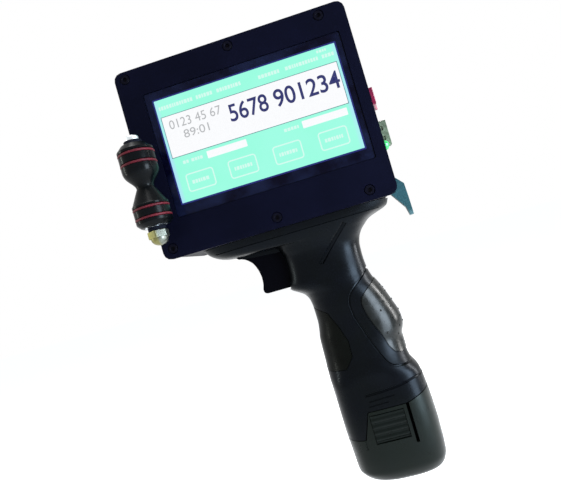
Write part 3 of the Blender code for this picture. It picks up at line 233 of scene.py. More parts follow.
PLATE_BLACK = black_sheet("plate_black", (7, 8, 21), 0.5)
BOX_BLACK = black_sheet("box_black", (7, 9, 12), 0.42)
COVER_BLACK = black_sheet("cover_black", (9, 10, 15), 0.55)
BRACKET_BLACK = black_sheet("bracket_black", (9, 10, 15), 0.45)
HANDLE_PLASTIC = moulding("handle_plastic", (2, 3, 3), 0.29, 0.6, 0.008, (3, 4, 12), 0.09, (222, 236, 252))
BATTERY_PLASTIC = moulding("battery_plastic", (3, 6, 3), 0.32, 0.5, 0.012, (5, 8, 9), 0.14, (232, 248, 244))
# Near-black matte for the sheets that paint shade into the battery's side slots.
SLOT_PAINTED_SHADE = moulding("slot_painted_shade", (1, 1, 1), 0.7, 0.5, 0.01, (2, 2, 2), 0.01)
TAB_PLASTIC = moulding("tab_plastic", (3, 6, 4), 0.32, 0.4, 0.012, (5, 8, 9), 0.12, (232, 248, 244))
TRIGGER_PLASTIC = moulding("trigger_plastic", (2, 2, 5), 0.55, 0.4, 0.02, (4, 4, 8), 0.02)
STALL_PLASTIC = moulding("stall_plastic", (17, 18, 20), 0.5, 0.5, 0.02)
ROLLER_PLASTIC = moulding("roller_plastic", (3, 5, 6), 0.26, 0.5, 0.01, (7, 10, 15), 0.075)
SWITCH_PLASTIC = moulding("switch_plastic", (15, 15, 17), 0.4, 0.4, 0.012)
BLOCK_PLASTIC = moulding("block_plastic", (22, 23, 25), 0.5)
PAD_RUBBER = soft_rubber("pad_rubber", (3, 6, 5), 0.26, 0.17)
GRIP_RUBBER = soft_rubber("grip_rubber", (3, 5, 3), 0.3, 0.06)
RING_RUBBER = (Finish("ring_rubber", (92, 20, 32), 0.5, specular=0.2).mottle((62, 12, 24), 4, 0.6)
               .grain(0.5, 0.01).ready())
DARK_STEEL = (Finish("dark_steel", (5, 5, 14), 0.42, 0.0, 0.04).mottle((12, 12, 24), 2, 0.4)
              .grain(0.3, 0.006).ready())
BRIGHT_STEEL = bright_metal("bright_steel", (232, 238, 242), 0.34, (190, 196, 198))
SPRING_STEEL = bright_metal("spring_steel", (180, 182, 186), 0.3, (120, 122, 128))
# Steel grey with a green cast; the green is a painted reflection of the indicator lamp.
SOCKET_STEEL_PAINTED_GREEN = (Finish("socket_steel_painted_green", (108, 120, 100), 0.4, 0.0, 0.3).mottle((52, 60, 46), 2.5, 0.7)
                .smudge(2, 0.05).grain(0.25, 0.004).ready())
CONTACT_BRASS = bright_metal("contact_brass", (212, 170, 92), 0.28, (160, 120, 60))
NOZZLE_GOLD = bright_metal("nozzle_gold", (205, 168, 100), 0.3, (150, 118, 60))
# Yellowish on the low-x half and grey on the high-x half: a painted reflection.
NUT_METAL_PAINTED_REFLECTION = (Finish("nut_metal_painted_reflection", (120, 120, 112), 0.34, 0.9)
             .across("X", low_high("dome_nut")[0].x, low_high("dome_nut")[1].x,
                     ((0.0, (122, 116, 64)), (0.5, (114, 112, 74)), (0.62, (108, 112, 104))))
             .grain(0.3, 0.004).ready())
SOCKET_PLASTIC = moulding("socket_plastic", (120, 124, 108), 0.45, 0.4, 0.008, (90, 96, 80))
BUTTON_RED = (Finish("button_red", (128, 20, 58), 0.25, specular=0.3).mottle((96, 6, 44), 5, 0.5)
              .smudge(3, 0.05).grain(0.5, 0.005).ready())
LAMP_GREEN = (Finish("lamp_green", (40, 150, 80), 0.15).mottle((20, 110, 60), 2, 0.6)
              .grain(0.4, 0.01).glow((40, 210, 100), 0.55).ready())
# Pale grey at the lower tip as a painted highlight, fading to teal, and a little darker towards the top.
LEVER_TEAL_PAINTED_HIGHLIGHT = (Finish("lever_teal_painted_highlight", (36, 66, 73), 0.42, specular=0.1)
              .across("Z", 128.0, 158.0,
                      ((0.0, (122, 142, 142)), (0.12, (84, 112, 116)), (0.22, (42, 74, 79)),
                       (0.6, (41, 75, 82)), (1.0, (34, 64, 70))))
              .grain(0.5, 0.015).ready())
CARTRIDGE_BLACK = moulding("cartridge_black", (20, 20, 22), 0.3, 0.6, 0.015)
BOARD_GREEN = Finish("board_green", (24, 92, 54), 0.35).mottle((16, 64, 40), 3, 0.7).grain(0.5, 0.02).ready()
CELL_BLUE = Finish("cell_blue", (34, 84, 160), 0.25).mottle((24, 60, 124), 8, 0.6).grain(2.0, 0.02).ready()
# Black glass whose paler blue patches are painted reflections.
GLASS_BLACK_PAINTED_REFLECTIONS = (Finish("glass_black_painted_reflections", (4, 4, 19), 0.12, specular=0.05).mottle((20, 25, 48), 12, 0.8)
               .smudge(20, 0.04).ready())
PANEL_GREY = moulding("panel_grey", (60, 62, 64), 0.4)


# ---- Shapes -----------------------------------------------------------------------------------------
def keep_shape(name, shape):
    mesh = bpy.data.meshes.new(name)
    shape.to_mesh(mesh)
    shape.free()
    obj = bpy.data.objects.new(name, mesh)
    bpy.context.scene.collection.objects.link(obj)
    return obj


def open_shape(obj):
    shape = bmesh.new()
    shape.from_mesh(obj.data)
    return shape


def slab(name, outline, low, high, axis="Y"):
    """An outline pushed straight from low to high along an axis."""
    spots = {"X": lambda a, b: (low, a, b), "Y": lambda a, b: (a, low, b),
             "Z": lambda a, b: (a, b, low)}[axis]
    shape = bmesh.new()
    face = shape.faces.new([shape.verts.new(spots(*point)) for point in outline])
    grown = bmesh.ops.extrude_face_region(shape, geom=[face])["geom"]
    bmesh.ops.translate(shape, verts=[item for item in grown if isinstance(item, bmesh.types.BMVert)],
                        vec=AXES[axis] * (high - low))
    bmesh.ops.recalc_face_normals(shape, faces=shape.faces)
    return keep_shape(name, shape)


def brick(name, low, high, edge=0.0, along=None, segments=3):
    """A block between two corners, with its edges rounded, or only those along one axis."""
    low, high = Vector(low), Vector(high)
    shape = bmesh.new()
    bmesh.ops.create_cube(shape, size=1.0)
    bmesh.ops.scale(shape, vec=high - low, verts=shape.verts)
    bmesh.ops.translate(shape, vec=(low + high) / 2, verts=shape.verts)
    if edge:
        edges = [e for e in shape.edges if along is None
                 or abs((e.verts[0].co - e.verts[1].co).normalized().dot(AXES[along])) > 0.9]
        bmesh.ops.bevel(shape, geom=edges, offset=edge, offset_type="OFFSET", segments=segments,
                        profile=0.5, affect="EDGES", material=-1, clamp_overlap=True)
    return keep_shape(name, shape)


def turned(name, profile, centre, axis="Z", steps=AROUND, closed=False):
    """A profile of (radius, height) points spun about an axis through the centre."""
    shape = bmesh.new()
    points = [shape.verts.new((radius, 0, height)) for radius, height in profile]
    pairs = list(zip(points, points[1:])) + ([(points[-1], points[0])] if closed else [])
    edges = [shape.edges.new(pair) for pair in pairs]
    bmesh.ops.spin(shape, geom=points + edges, cent=(0, 0, 0), axis=(0, 0, 1), angle=2 * math.pi,
                   steps=steps, use_merge=True)
    bmesh.ops.remove_doubles(shape, verts=shape.verts, dist=0.0005)
    turn = {"Z": Matrix(), "X": Matrix.Rotation(math.pi / 2, 4, "Y"),
            "Y": Matrix.Rotation(-math.pi / 2, 4, "X")}[axis]
    shape.transform(Matrix.Translation(centre) @ turn)
    bmesh.ops.recalc_face_normals(shape, faces=shape.faces)
    return keep_shape(name, shape)


def settled(obj):
    """The object's mesh with its modifiers worked in."""
    mesh = bpy.data.meshes.new_from_object(obj.evaluated_get(bpy.context.evaluated_depsgraph_get()))
    obj.modifiers.clear()
    obj.data = mesh
    return obj


def carve(obj, *tools, operation="DIFFERENCE"):
    """Cut tools from an object, join them to it, or keep what they share."""
    for tool in tools:
        change = obj.modifiers.new("carve", "BOOLEAN")
        change.operation = operation
        change.solver = "EXACT"
        change.object = tool
        settled(obj)
        bpy.data.objects.remove(tool)
    return obj


def joined(name, *objects):
    """Several pieces of one material as one mesh."""
    shape = bmesh.new()
    for obj in objects:
        shape.from_mesh(obj.data)
        bpy.data.objects.remove(obj)
    return keep_shape(name, shape)


def bevelled(obj, width, segments=2, angle=40.0):
    """Round every edge that turns by more than an angle."""
    shape = open_shape(obj)
    bmesh.ops.remove_doubles(shape, verts=shape.verts, dist=0.001)
    bmesh.ops.dissolve_limit(shape, angle_limit=math.radians(1.0), verts=shape.verts, edges=shape.edges)
    edges = [e for e in shape.edges if len(e.link_faces) == 2 and e.calc_face_angle(0) > math.radians(angle)]
    bmesh.ops.bevel(shape, geom=edges, offset=width, offset_type="OFFSET", segments=segments,
                    profile=0.5, affect="EDGES", material=-1, clamp_overlap=True)
    shape.to_mesh(obj.data)
    shape.free()
    return obj


def softened(node, width, segments=2):
    """A copy of a CAD node, in millimetres, with its edges broken."""
    shape = bmesh.new()
    shape.from_mesh(frame["nodes"][node].data)
    shape.transform(Matrix.Scale(1 / MM, 4))
    return bevelled(keep_shape(node + "_finished", shape), width, segments)


def tube(name, points, radius, cyclic=False):
    """A round bar that follows points: a wire, or a tool that presses a groove into a surface."""
    curve = bpy.data.curves.new(name, "CURVE")
    curve.dimensions = "3D"
    spline = curve.splines.new("POLY")
    spline.points.add(len(points) - 1)
    for spot, point in zip(spline.points, points):
        spot.co = (*point, 1.0)
    spline.use_cyclic_u = cyclic
    curve.bevel_depth = radius
    curve.bevel_resolution = 2
    curve.use_fill_caps = not cyclic
    bar = bpy.data.objects.new(name, curve)
    bpy.context.scene.collection.objects.link(bar)
    mesh = bpy.data.meshes.new_from_object(bar.evaluated_get(bpy.context.evaluated_depsgraph_get()))
    bpy.data.objects.remove(bar)
    solid = bpy.data.objects.new(name, mesh)
    bpy.context.scene.collection.objects.link(solid)
    return solid


def smooth_path(points, step=1.0):
    """Points a step apart on a smooth curve through the given ones."""
    spots = [Vector(point) for point in points]
    spots = [spots[0] * 2 - spots[1]] + spots + [spots[-1] * 2 - spots[-2]]
    path = []
    for a, b, c, d in zip(spots, spots[1:], spots[2:], spots[3:]):
        count = max(1, round((c - b).length / step))
        for index in range(count):
            t = index / count
            path.append(0.5 * (2 * b + (c - a) * t + (2 * a - 5 * b + 4 * c - d) * t * t
                               + (3 * b - a - 3 * c + d) * t ** 3))
    return path + [spots[-2]]


def show(obj, material, slot, body, *nodes):
    """Bring a finished piece to metres, give it its material and ride it on its body.

    A piece with no body is left unattached.
    """
    mesh = obj.data
    mesh.transform(Matrix.Scale(MM, 4))
    mesh.materials.clear()
    mesh.materials.append(material)
    mesh.polygons.foreach_set("use_smooth", [True] * len(mesh.polygons))
    mesh.set_sharp_from_angle(angle=math.radians(SHARP))
    mesh.update()
    even = obj.modifiers.new("even_normals", "WEIGHTED_NORMAL")   # wide flat faces shade evenly
    even.keep_sharp = True
    if body:
        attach(obj, body)
    if nodes:
        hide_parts(*nodes)
    return obj


def dress(material, *nodes):
    """Give CAD nodes that stay their material."""
    for node in nodes:
        mesh = frame["nodes"][node].data
        mesh.materials.clear()
        mesh.materials.append(material)


# ---- Grip: (height, front x, back x, half depth, squareness) ----------------------------------------
GRIP_STATIONS = (
    (0.0, -13.5, 13.2, 12.0, 2.6), (0.9, -20.5, 16.4, 15.5, 2.7), (3.4, -25.0, 18.2, 18.4, 2.9),
    (8.0, -27.9, 19.6, 20.6, 3.1), (16.3, -28.3, 20.0, 21.6, 3.2), (24.0, -28.8, 20.2, 21.8, 3.2),
    (31.3, -29.1, 20.1, 21.6, 3.2), (37.7, -29.2, 19.8, 21.2, 3.2), (48.3, -29.3, 19.0, 20.3, 3.2),
    (52.5, -29.4, 18.2, 20.0, 3.2), (57.7, -29.5, 15.5, 19.8, 2.8), (60.9, -29.5, 14.8, 19.2, 2.5),
    (65.1, -29.3, 14.5, 18.2, 2.3), (70.5, -29.1, 14.5, 17.6, 2.2), (75.9, -28.9, 16.3, 17.3, 2.2),
    (79.1, -28.7, 16.5, 17.2, 2.2), (83.4, -27.9, 15.9, 17.1, 2.2), (88.7, -27.3, 14.2, 17.0, 2.2),
    (95.0, -27.4, 12.0, 17.0, 2.2), (100.3, -28.0, 9.8, 16.8, 2.2), (104.1, -29.8, 8.0, 16.6, 2.2),
    (106.5, -33.0, 7.2, 16.5, 2.3), (108.9, -36.6, 6.6, 16.4, 2.4), (111.2, -37.6, 6.3, 16.3, 2.5),
    (115.7, -36.3, 6.0, 16.2, 2.6), (121.8, -35.9, 6.2, 16.2, 2.6), (126.2, -36.2, 7.2, 16.6, 2.6),
    (130.0, -37.0, 9.3, 17.6, 3.0), (133.0, -39.0, 12.4, 19.0, 3.0), (133.5, -59.0, 12.9, 19.2, 3.2),
    (134.4, -65.5, 14.0, 19.6, 3.3), (136.0, -70.0, 17.4, 20.2, 3.4), (138.9, -74.2, 25.5, 21.0, 3.6),
    (141.9, -76.4, 27.0, 21.4, 3.8),
)
LOFT_STEP = 1.1        # height between the rings of points in the fine grip
HUB_TOP_Z = 133.0      # above here the sections keep their centre while the front runs out
LOFT_AROUND = 120
PARTING = ((-45.0, 25.6), (-19.4, 25.6), (-14.6, 39.2), (6.0, 39.2), (22.0, 43.4), (40.0, 48.0))
PAD_OUTLINE = (
    (11.0, 105.0), (7.4, 102.4), (1.8, 98.6), (-1.4, 95.9), (-2.2, 92.8), (-1.1, 86.6), (1.1, 80.5),
    (3.7, 74.5), (5.4, 68.4), (7.5, 64.9), (11.0, 63.3), (14.5, 63.8), (34.0, 66.0), (34.0, 105.0),
)
FRONT_GRIP_OUTLINE = (
    (-42.0, 96.4), (-27.0, 96.0), (-20.8, 92.3), (-17.0, 84.2), (-14.3, 76.0), (-14.6, 68.0),
    (-19.0, 62.4), (-42.0, 61.8),
)
PAD_GROOVE = (
    (5.9, 109.5), (0.7, 105.3), (-4.4, 101.5), (-7.5, 97.8), (-8.4, 93.6), (-7.8, 87.5), (-5.9, 81.3),
    (-4.0, 75.2), (-1.3, 68.1), (1.4, 62.0), (4.5, 58.8), (9.6, 57.3),
)
COLLAR_GROOVE = ((-13.7, 47.6), (-4.0, 48.0), (5.4, 48.8), (12.0, 50.0))
SHORT_GROOVES = (((-12.6, 44.4), (0.5, 44.8)), ((-13.4, 42.0), (-3.0, 42.3)))
CREASE = ((0.1, 134.8), (-8.0, 127.2), (-17.1, 118.4))
FLANGE_LINE = ((-69.0, 138.3), (-30.0, 138.2), (20.0, 138.2))
TRIGGER_LIP = ((-61.0, 135.0), (-58.6, 132.6), (-52.0, 131.6), (-38.0, 130.6), (-34.0, 130.6), (-34.0, 135.0))
LIP_THICK = 1.6
SKIN = 1.9             # thickness of the rubber pieces
ACROSS = 40.0          # half depth of an outline's slab, wide of the grip on both sides


def slopes(values, heights):
    """Slopes at each station that keep the curve between stations from overshooting."""
    steps = [(b - a) / (t - s) for a, b, s, t in zip(values, values[1:], heights, heights[1:])]
    inner = [0.0 if a * b <= 0 else 2 * a * b / (a + b) for a, b in zip(steps, steps[1:])]
    return [steps[0]] + inner + [steps[-1]]


GRIP_HEIGHTS = [station[0] for station in GRIP_STATIONS]
GRIP_COLUMNS = [[station[column] for station in GRIP_STATIONS] for column in range(1, 5)]
GRIP_SLOPES = [slopes(column, GRIP_HEIGHTS) for column in GRIP_COLUMNS]


def station_at(height):
    """The grip's front, back, half depth and squareness at a height."""
    index = max(0, min(len(GRIP_HEIGHTS) - 2, sum(1 for h in GRIP_HEIGHTS if h <= height) - 1))
    span = GRIP_HEIGHTS[index + 1] - GRIP_HEIGHTS[index]
    t = (height - GRIP_HEIGHTS[index]) / span
    found = []
    for column, slope in zip(GRIP_COLUMNS, GRIP_SLOPES):
        start, end = column[index], column[index + 1]
        leave = slope[index] * (t ** 3 - 2 * t ** 2 + t)
        arrive = slope[index + 1] * (t ** 3 - t ** 2)
        found.append(start * (2 * t ** 3 - 3 * t ** 2 + 1) + end * (3 * t ** 2 - 2 * t ** 3)
                     + span * (leave + arrive))
    return found


def hub_x(height):
    """The centre that a section is drawn round."""
    front, back, _, _ = station_at(min(height, HUB_TOP_Z))
    return (front + back) / 2


def loft_heights(low, high):
    heights = []
    for start, end in zip(GRIP_HEIGHTS, GRIP_HEIGHTS[1:]):
        count = max(1, math.ceil((end - start) / LOFT_STEP))
        heights += [start + (end - start) * index / count for index in range(count)]
    heights.append(GRIP_HEIGHTS[-1])
    return [height for height in heights if low <= height <= high]


def grip_loft(name, inset=0.0, low=-1.0, high=1000.0):
    """The grip's smooth body between two heights, its surface moved inwards by inset."""
    heights = loft_heights(low, high)
    shape = bmesh.new()
    bmesh.ops.create_cone(shape, cap_ends=True, segments=LOFT_AROUND, radius1=1, radius2=1, depth=1)
    upright = [e for e in shape.edges if abs(e.verts[0].co.z - e.verts[1].co.z) > 0.5]
    bmesh.ops.subdivide_edges(shape, edges=upright, cuts=len(heights) - 2)
    for vert in shape.verts:
        height = heights[round((vert.co.z + 0.5) * (len(heights) - 1))]
        front, back, half, squareness = station_at(height)
        turn = math.atan2(vert.co.y, vert.co.x)
        c, s = math.cos(turn), math.sin(turn)
        hub = hub_x(height)
        reach = (back - hub if c > 0 else hub - front) - inset
        vert.co = (hub + reach * math.copysign(abs(c) ** (2 / squareness), c),
                   (half - inset) * math.copysign(abs(s) ** (2 / squareness), s), height)
    bmesh.ops.recalc_face_normals(shape, faces=shape.faces)
    return keep_shape(name, shape)


def grown(outline, distance):
    """An outline moved outwards by a distance."""
    centre = Vector((sum(x for x, _ in outline), sum(z for _, z in outline))) / len(outline)
    points = [Vector(point) for point in outline]
    moved = []
    for before, point, after in zip(points[-1:] + points[:-1], points, points[1:] + points[:1]):
        normal = (after - before).orthogonal().normalized()
        if normal.dot(point - centre) < 0:
            normal = -normal
        moved.append(tuple(point + normal * distance))
    return moved


def below_parting(name, shift=0.0):
    """The space below the line where the battery leaves the handle."""
    outline = [(x - shift, z + shift) for x, z in PARTING]
    outline += [(PARTING[-1][0], -10.0), (PARTING[0][0] - shift, -10.0)]
    return slab(name, outline, -ACROSS, ACROSS)


grip_surface = grip_loft("grip_surface")
GRIP_TREE = BVHTree.FromObject(grip_surface, bpy.context.evaluated_depsgraph_get())


def on_side(x, z, side):
    """Where the grip's surface is at (x, z), on the display's side (-1) or the other (1)."""
    return GRIP_TREE.ray_cast(Vector((x, side * 60, z)), Vector((0, -side, 0)))[0]


def round_back(z, first, last, count):
    """Points across the back of the grip at a height, from one turn to another."""
    hub = Vector((hub_x(z), 0, z))
    spots = []
    for index in range(count + 1):
        turn = first + (last - first) * index / count
        out = Vector((math.cos(turn), math.sin(turn), 0))
        spots.append(GRIP_TREE.ray_cast(hub + out * 90, -out)[0])
    return spots


def turn_of(point):
    return math.atan2(point.y, point.x - hub_x(point.z))


def side_path(points, side):
    return [on_side(point.x, point.y, side) for point in smooth_path([(x, z) for x, z in points], 1.5)]


def wrapped(points):
    """A path over the display's side, round the back and along the same line on the other side."""
    near = side_path(points, -1)
    far = side_path(points, 1)
    across = round_back(near[-1].z, turn_of(near[-1]), turn_of(far[-1]), 14)[1:-1]
    return near, across, far[::-1]


PAD_GROOVE_R, COLLAR_GROOVE_R, SHORT_GROOVE_R, FLANGE_LINE_R = 0.7, 0.65, 0.35, 0.4
CREASE_R, FLANK_R = 0.6, 1.7           # a sharp line and the soft hollow along it


def handle_cutters():
    """Everything that is pressed or cut into the handle's surface."""
    near, across, far = wrapped(PAD_GROOVE)
    top = round_back(PAD_GROOVE[0][1], turn_of(far[-1]), turn_of(near[0]), 12)[1:-1]
    tools = [tube("pad_groove", near + across + far + top, PAD_GROOVE_R, True)]
    near, across, far = wrapped(COLLAR_GROOVE)
    tools.append(tube("collar_groove", near + across + far, COLLAR_GROOVE_R))
    for side in (-1, 1):
        for line in SHORT_GROOVES:
            tools.append(tube("short_groove", side_path(line, side), SHORT_GROOVE_R))
        line = side_path(CREASE, side)
        tools.append(tube("crease", line, CREASE_R))
        flank = [point + Vector((0.9, side * 1.1, 0.3)) for point in line]
        tools.append(tube("crease_flank", flank, FLANK_R))
        tools.append(tube("flange_line", side_path(FLANGE_LINE, side), FLANGE_LINE_R))
    return tools


HANDLE_SCREWS = [middle(f"handle_screw_{number}") for number in range(1, 5)]
HANDLE_HEAD_Y = low_high("handle_screw_1")[1].y
SCREW_HEAD_R = (low_high("handle_screw_1")[1].x - low_high("handle_screw_1")[0].x) / 2
NECK_LOW = Vector((-25.4, -17.3, 20.0))
NECK_HIGH = Vector((12.4, 17.3, 57.0))
NECK_CORNER = 8.0
NECK_WALL = 1.2
NECK_TOP = 1.4         # thickness of the neck's top
CELL_FLOOR_Z = 7.7     # where the hollow for the cells begins
SLIDE = 0.4            # room round a piece that slides
TRIGGER_ROOM = 6.4     # the trigger's travel and some room
TRIGGER_GAP = 1.2      # gap before and below the trigger


def handle():
    """Both halves of the handle with their seams, recesses and inner spaces."""
    body = grip_loft("handle")
    carve(body, below_parting("battery_space", SLIDE))
    for outline in (PAD_OUTLINE, FRONT_GRIP_OUTLINE):
        recess = slab("recess", grown(outline, LINE_GAP), -ACROSS, ACROSS)
        carve(body, carve(recess, grip_loft("core", SKIN + LINE_GAP)))
    room = Vector((SLIDE, SLIDE, SLIDE))
    carve(body, brick("neck_space", (NECK_LOW - room)[:2] + (0,), NECK_HIGH + room, NECK_CORNER, "Z", 6))
    low, high = low_high("terminal_block")
    carve(body, brick("block_space", low - Vector((LINE_GAP, LINE_GAP, 1)), high + Vector((LINE_GAP,) * 3)))
    low, high = low_high("trigger")
    for y in (low.y - SLIDE - LIP_THICK, high.y + SLIDE):
        carve(body, slab("trigger_lip", TRIGGER_LIP, y, y + LIP_THICK), operation="UNION")
    travel = Vector((TRIGGER_ROOM, SLIDE, SLIDE))
    carve(body, brick("trigger_space", low - Vector((TRIGGER_GAP, SLIDE, TRIGGER_GAP)), high + travel))
    low, high = low_high("trigger_switch")
    gap = Vector((1, LINE_GAP, LINE_GAP))
    carve(body, brick("switch_space", low - gap, high + gap))
    bore_r = SCREW_HEAD_R + LINE_GAP
    bore = [(0, HANDLE_HEAD_Y), (bore_r, HANDLE_HEAD_Y), (bore_r, ACROSS), (0, ACROSS)]
    for spot in HANDLE_SCREWS:
        carve(body, turned("counterbore", bore, (spot.x, 0, spot.z), "Y", 32))
    carve(body, *handle_cutters())
    for node, side in (("handle_half_front", -1), ("handle_half_rear", 1)):
        half = bpy.data.objects.new(node + "_finished", body.data.copy())
        bpy.context.scene.collection.objects.link(half)
        y_range = sorted((side * LINE_GAP / 2, side * 60.0))
        carve(half, brick("side", (-100, y_range[0], -20), (100, y_range[1], 200)), operation="INTERSECT")
        show(half, HANDLE_PLASTIC, "handle_plastic", "frame", node)
    bpy.data.objects.remove(body)


def rubber_skin(node, outline, proud, material):
    """A rubber piece that is let into the handle and stands a little proud of it."""
    skin = carve(grip_loft(node + "_finished", -proud), slab("outline", outline, -ACROSS, ACROSS),
                 operation="INTERSECT")
    return show(carve(skin, grip_loft("inside", SKIN)), material, "grip_rubber", "frame", node)


DOTS = 30
DOT_R, DOT_RISE, DOT_SPACING = 0.6, 0.3, 4.2


def pad_dots():
    """Small raised dots over the palm pad."""
    draw = random.Random(7)
    shape = bmesh.new()
    spots = []
    while len(spots) < DOTS:
        turn = draw.uniform(-1.35, 1.35)
        z = draw.uniform(67.0, 101.0)
        out = Vector((math.cos(turn), math.sin(turn), 0))
        hub = Vector((hub_x(z), 0, z))
        spot = GRIP_TREE.ray_cast(hub + out * 90, -out)[0]
        off_pad = spot.x < 3.0 + abs(z - 84) * 0.18
        if off_pad or any((spot - other).length < DOT_SPACING for other in spots):
            continue
        spots.append(spot)
        bmesh.ops.create_icosphere(shape, subdivisions=2, radius=DOT_R,
                                   matrix=Matrix.Translation(spot + out * DOT_RISE))
    show(keep_shape("palm_pad_dots", shape), PAD_RUBBER, "grip_rubber", "frame")


handle()
rubber_skin("palm_pad", PAD_OUTLINE, 0.45, PAD_RUBBER)
rubber_skin("front_grip", FRONT_GRIP_OUTLINE, 0.1, GRIP_RUBBER)
pad_dots()


# ---- Battery ----------------------------------------------------------------------------------------
SIDE_SLOT_X = 5.6
SIDE_SLOT_Z = (19.4, 46.0)
SIDE_SLOT_HALF = 0.8   # half the slot's width
SIDE_SLOT_FLOOR = 18.4 # how far its floor is from the middle
TAB_FLOOR = 17.5       # how far the floor of a tab's pocket is from the middle
CORNER_SLOT = ((-19.9, 20.9), (-19.9, 27.0))
CORNER_SLOT_R = 0.45
RIBS = 4


def battery_case():
    """The battery's case with its neck, the tabs' pockets, and a slot beside each tab whose floor holds a
    black sheet as painted shade.
    """
    case = carve(grip_loft("battery_case_finished"), below_parting("battery_space"), operation="INTERSECT")
    carve(case, brick("neck", NECK_LOW, NECK_HIGH, NECK_CORNER, "Z", 6), operation="UNION")
    inside_low = NECK_LOW + Vector((NECK_WALL, NECK_WALL, 0))
    inside_high = NECK_HIGH - Vector((NECK_WALL, NECK_WALL, NECK_TOP))
    carve(case, brick("inside", (inside_low.x, inside_low.y, CELL_FLOOR_Z), inside_high,
                      NECK_CORNER - NECK_WALL, "Z", 6))
    for number in (1, 2):
        low, high = low_high(f"battery_terminal_{number}")
        gap = Vector((LINE_GAP, LINE_GAP, 0))
        carve(case, brick("slot", low - gap, high + gap))
    for node, side in (("battery_latch_front", -1), ("battery_latch_rear", 1)):
        low, high = low_high(node)
        y_range = sorted((side * TAB_FLOOR, side * ACROSS))
        carve(case, brick("tab_space", (low.x - LINE_GAP, y_range[0], low.z - LINE_GAP),
                          (high.x + LINE_GAP, y_range[1], high.z + LINE_GAP)))
        deep = sorted((side * SIDE_SLOT_FLOOR, side * ACROSS))
        carve(case, brick("side_slot", (SIDE_SLOT_X - SIDE_SLOT_HALF, deep[0], SIDE_SLOT_Z[0]),
                          (SIDE_SLOT_X + SIDE_SLOT_HALF, deep[1], SIDE_SLOT_Z[1])))
        carve(case, tube("corner_slot", side_path(CORNER_SLOT, side), CORNER_SLOT_R))
        # A black sheet on each slot's floor: painted shade that makes the slot look dark.
        floor = sorted((side * (SIDE_SLOT_FLOOR - 0.2), side * (SIDE_SLOT_FLOOR + 0.3)))
        shade_sheet_half = SIDE_SLOT_HALF - 0.05
        shade_sheet = brick("side_slot_painted_shade", (SIDE_SLOT_X - shade_sheet_half, floor[0], SIDE_SLOT_Z[0]),
                      (SIDE_SLOT_X + shade_sheet_half, floor[1], SIDE_SLOT_Z[1]))
        carve(shade_sheet, below_parting("shade_sheet_space"), operation="INTERSECT")
        shade_sheet.name = "side_slot_painted_shade_" + node.rpartition("_")[2]
        show(shade_sheet, SLOT_PAINTED_SHADE, "battery_plastic", "battery")
    show(case, BATTERY_PLASTIC, "battery_plastic", "battery", "battery_case")


TAB_THICK = 2.2
RIB_RISE = 0.6


def latch_tab(node, side):
    """A tab with horizontal ribs across its face."""
    low, high = low_high(node)
    face = (high.y if side > 0 else -low.y)
    back, valley = face - TAB_THICK, face - RIB_RISE
    pitch = (high.z - low.z - 1.6) / RIBS
    outline = [(back, low.z), (valley, low.z)]
    for rib in range(RIBS):
        base = low.z + 0.8 + rib * pitch
        outline += [(valley, base), (face - 0.15, base + pitch * 0.2), (face, base + pitch * 0.4),
                    (face - 0.15, base + pitch * 0.6), (valley, base + pitch * 0.8)]
    outline += [(valley, high.z - 0.3), (valley - 0.3, high.z), (back, high.z)]
    tab = slab(node + "_finished", [(side * y, z) for y, z in outline], low.x, high.x, "X")
    foot = sorted((side * 17.8, side * (back + 0.5)))
    carve(tab, brick("foot", (low.x, foot[0], low.z), (high.x, foot[1], low.z + 2.0)), operation="UNION")
    show(tab, TAB_PLASTIC, "battery_plastic", node, node)


battery_case()
latch_tab("battery_latch_front", -1)
latch_tab("battery_latch_rear", 1)
dress(CELL_BLUE, "battery_cell_1", "battery_cell_2", "battery_cell_3")
dress(CONTACT_BRASS, "battery_terminal_1", "battery_terminal_2")
dress(BLOCK_PLASTIC, "terminal_block", "trigger_switch")
bpy.data.objects.remove(grip_surface)


# ---- Box --------------------------------------------------------------------------------------------
def screw(node, facing):
    """A countersunk screw with a hexagonal socket, in a CAD screw's place."""
    low, high = low_high(node)
    axis = "XY".index(facing[1])
    length = (high - low)[axis]
    head = (high - low)[1 - axis] / 2
    tip = -length
    profile = [(0, tip), (0.9, tip), (1.4, tip + 0.6), (1.4, -1.5), (head - 0.15, -0.15), (head - 0.3, 0),
               (1.35, 0), (1.15, -0.2), (1.15, -1.1), (0, -1.3)]
    place = (low + high) / 2
    place[axis] = high[axis] if facing[0] == "+" else low[axis]
    piece = turned(node + "_finished", profile, (0, 0, 0), "Z", 24)
    turn = {"-Y": Matrix.Rotation(math.pi / 2, 4, "X"), "+Y": Matrix.Rotation(-math.pi / 2, 4, "X"),
            "-X": Matrix.Rotation(-math.pi / 2, 4, "Y")}[facing]
    piece.data.transform(Matrix.Translation(place) @ turn)
    show(piece, DARK_STEEL, "dark_steel", "frame", node)


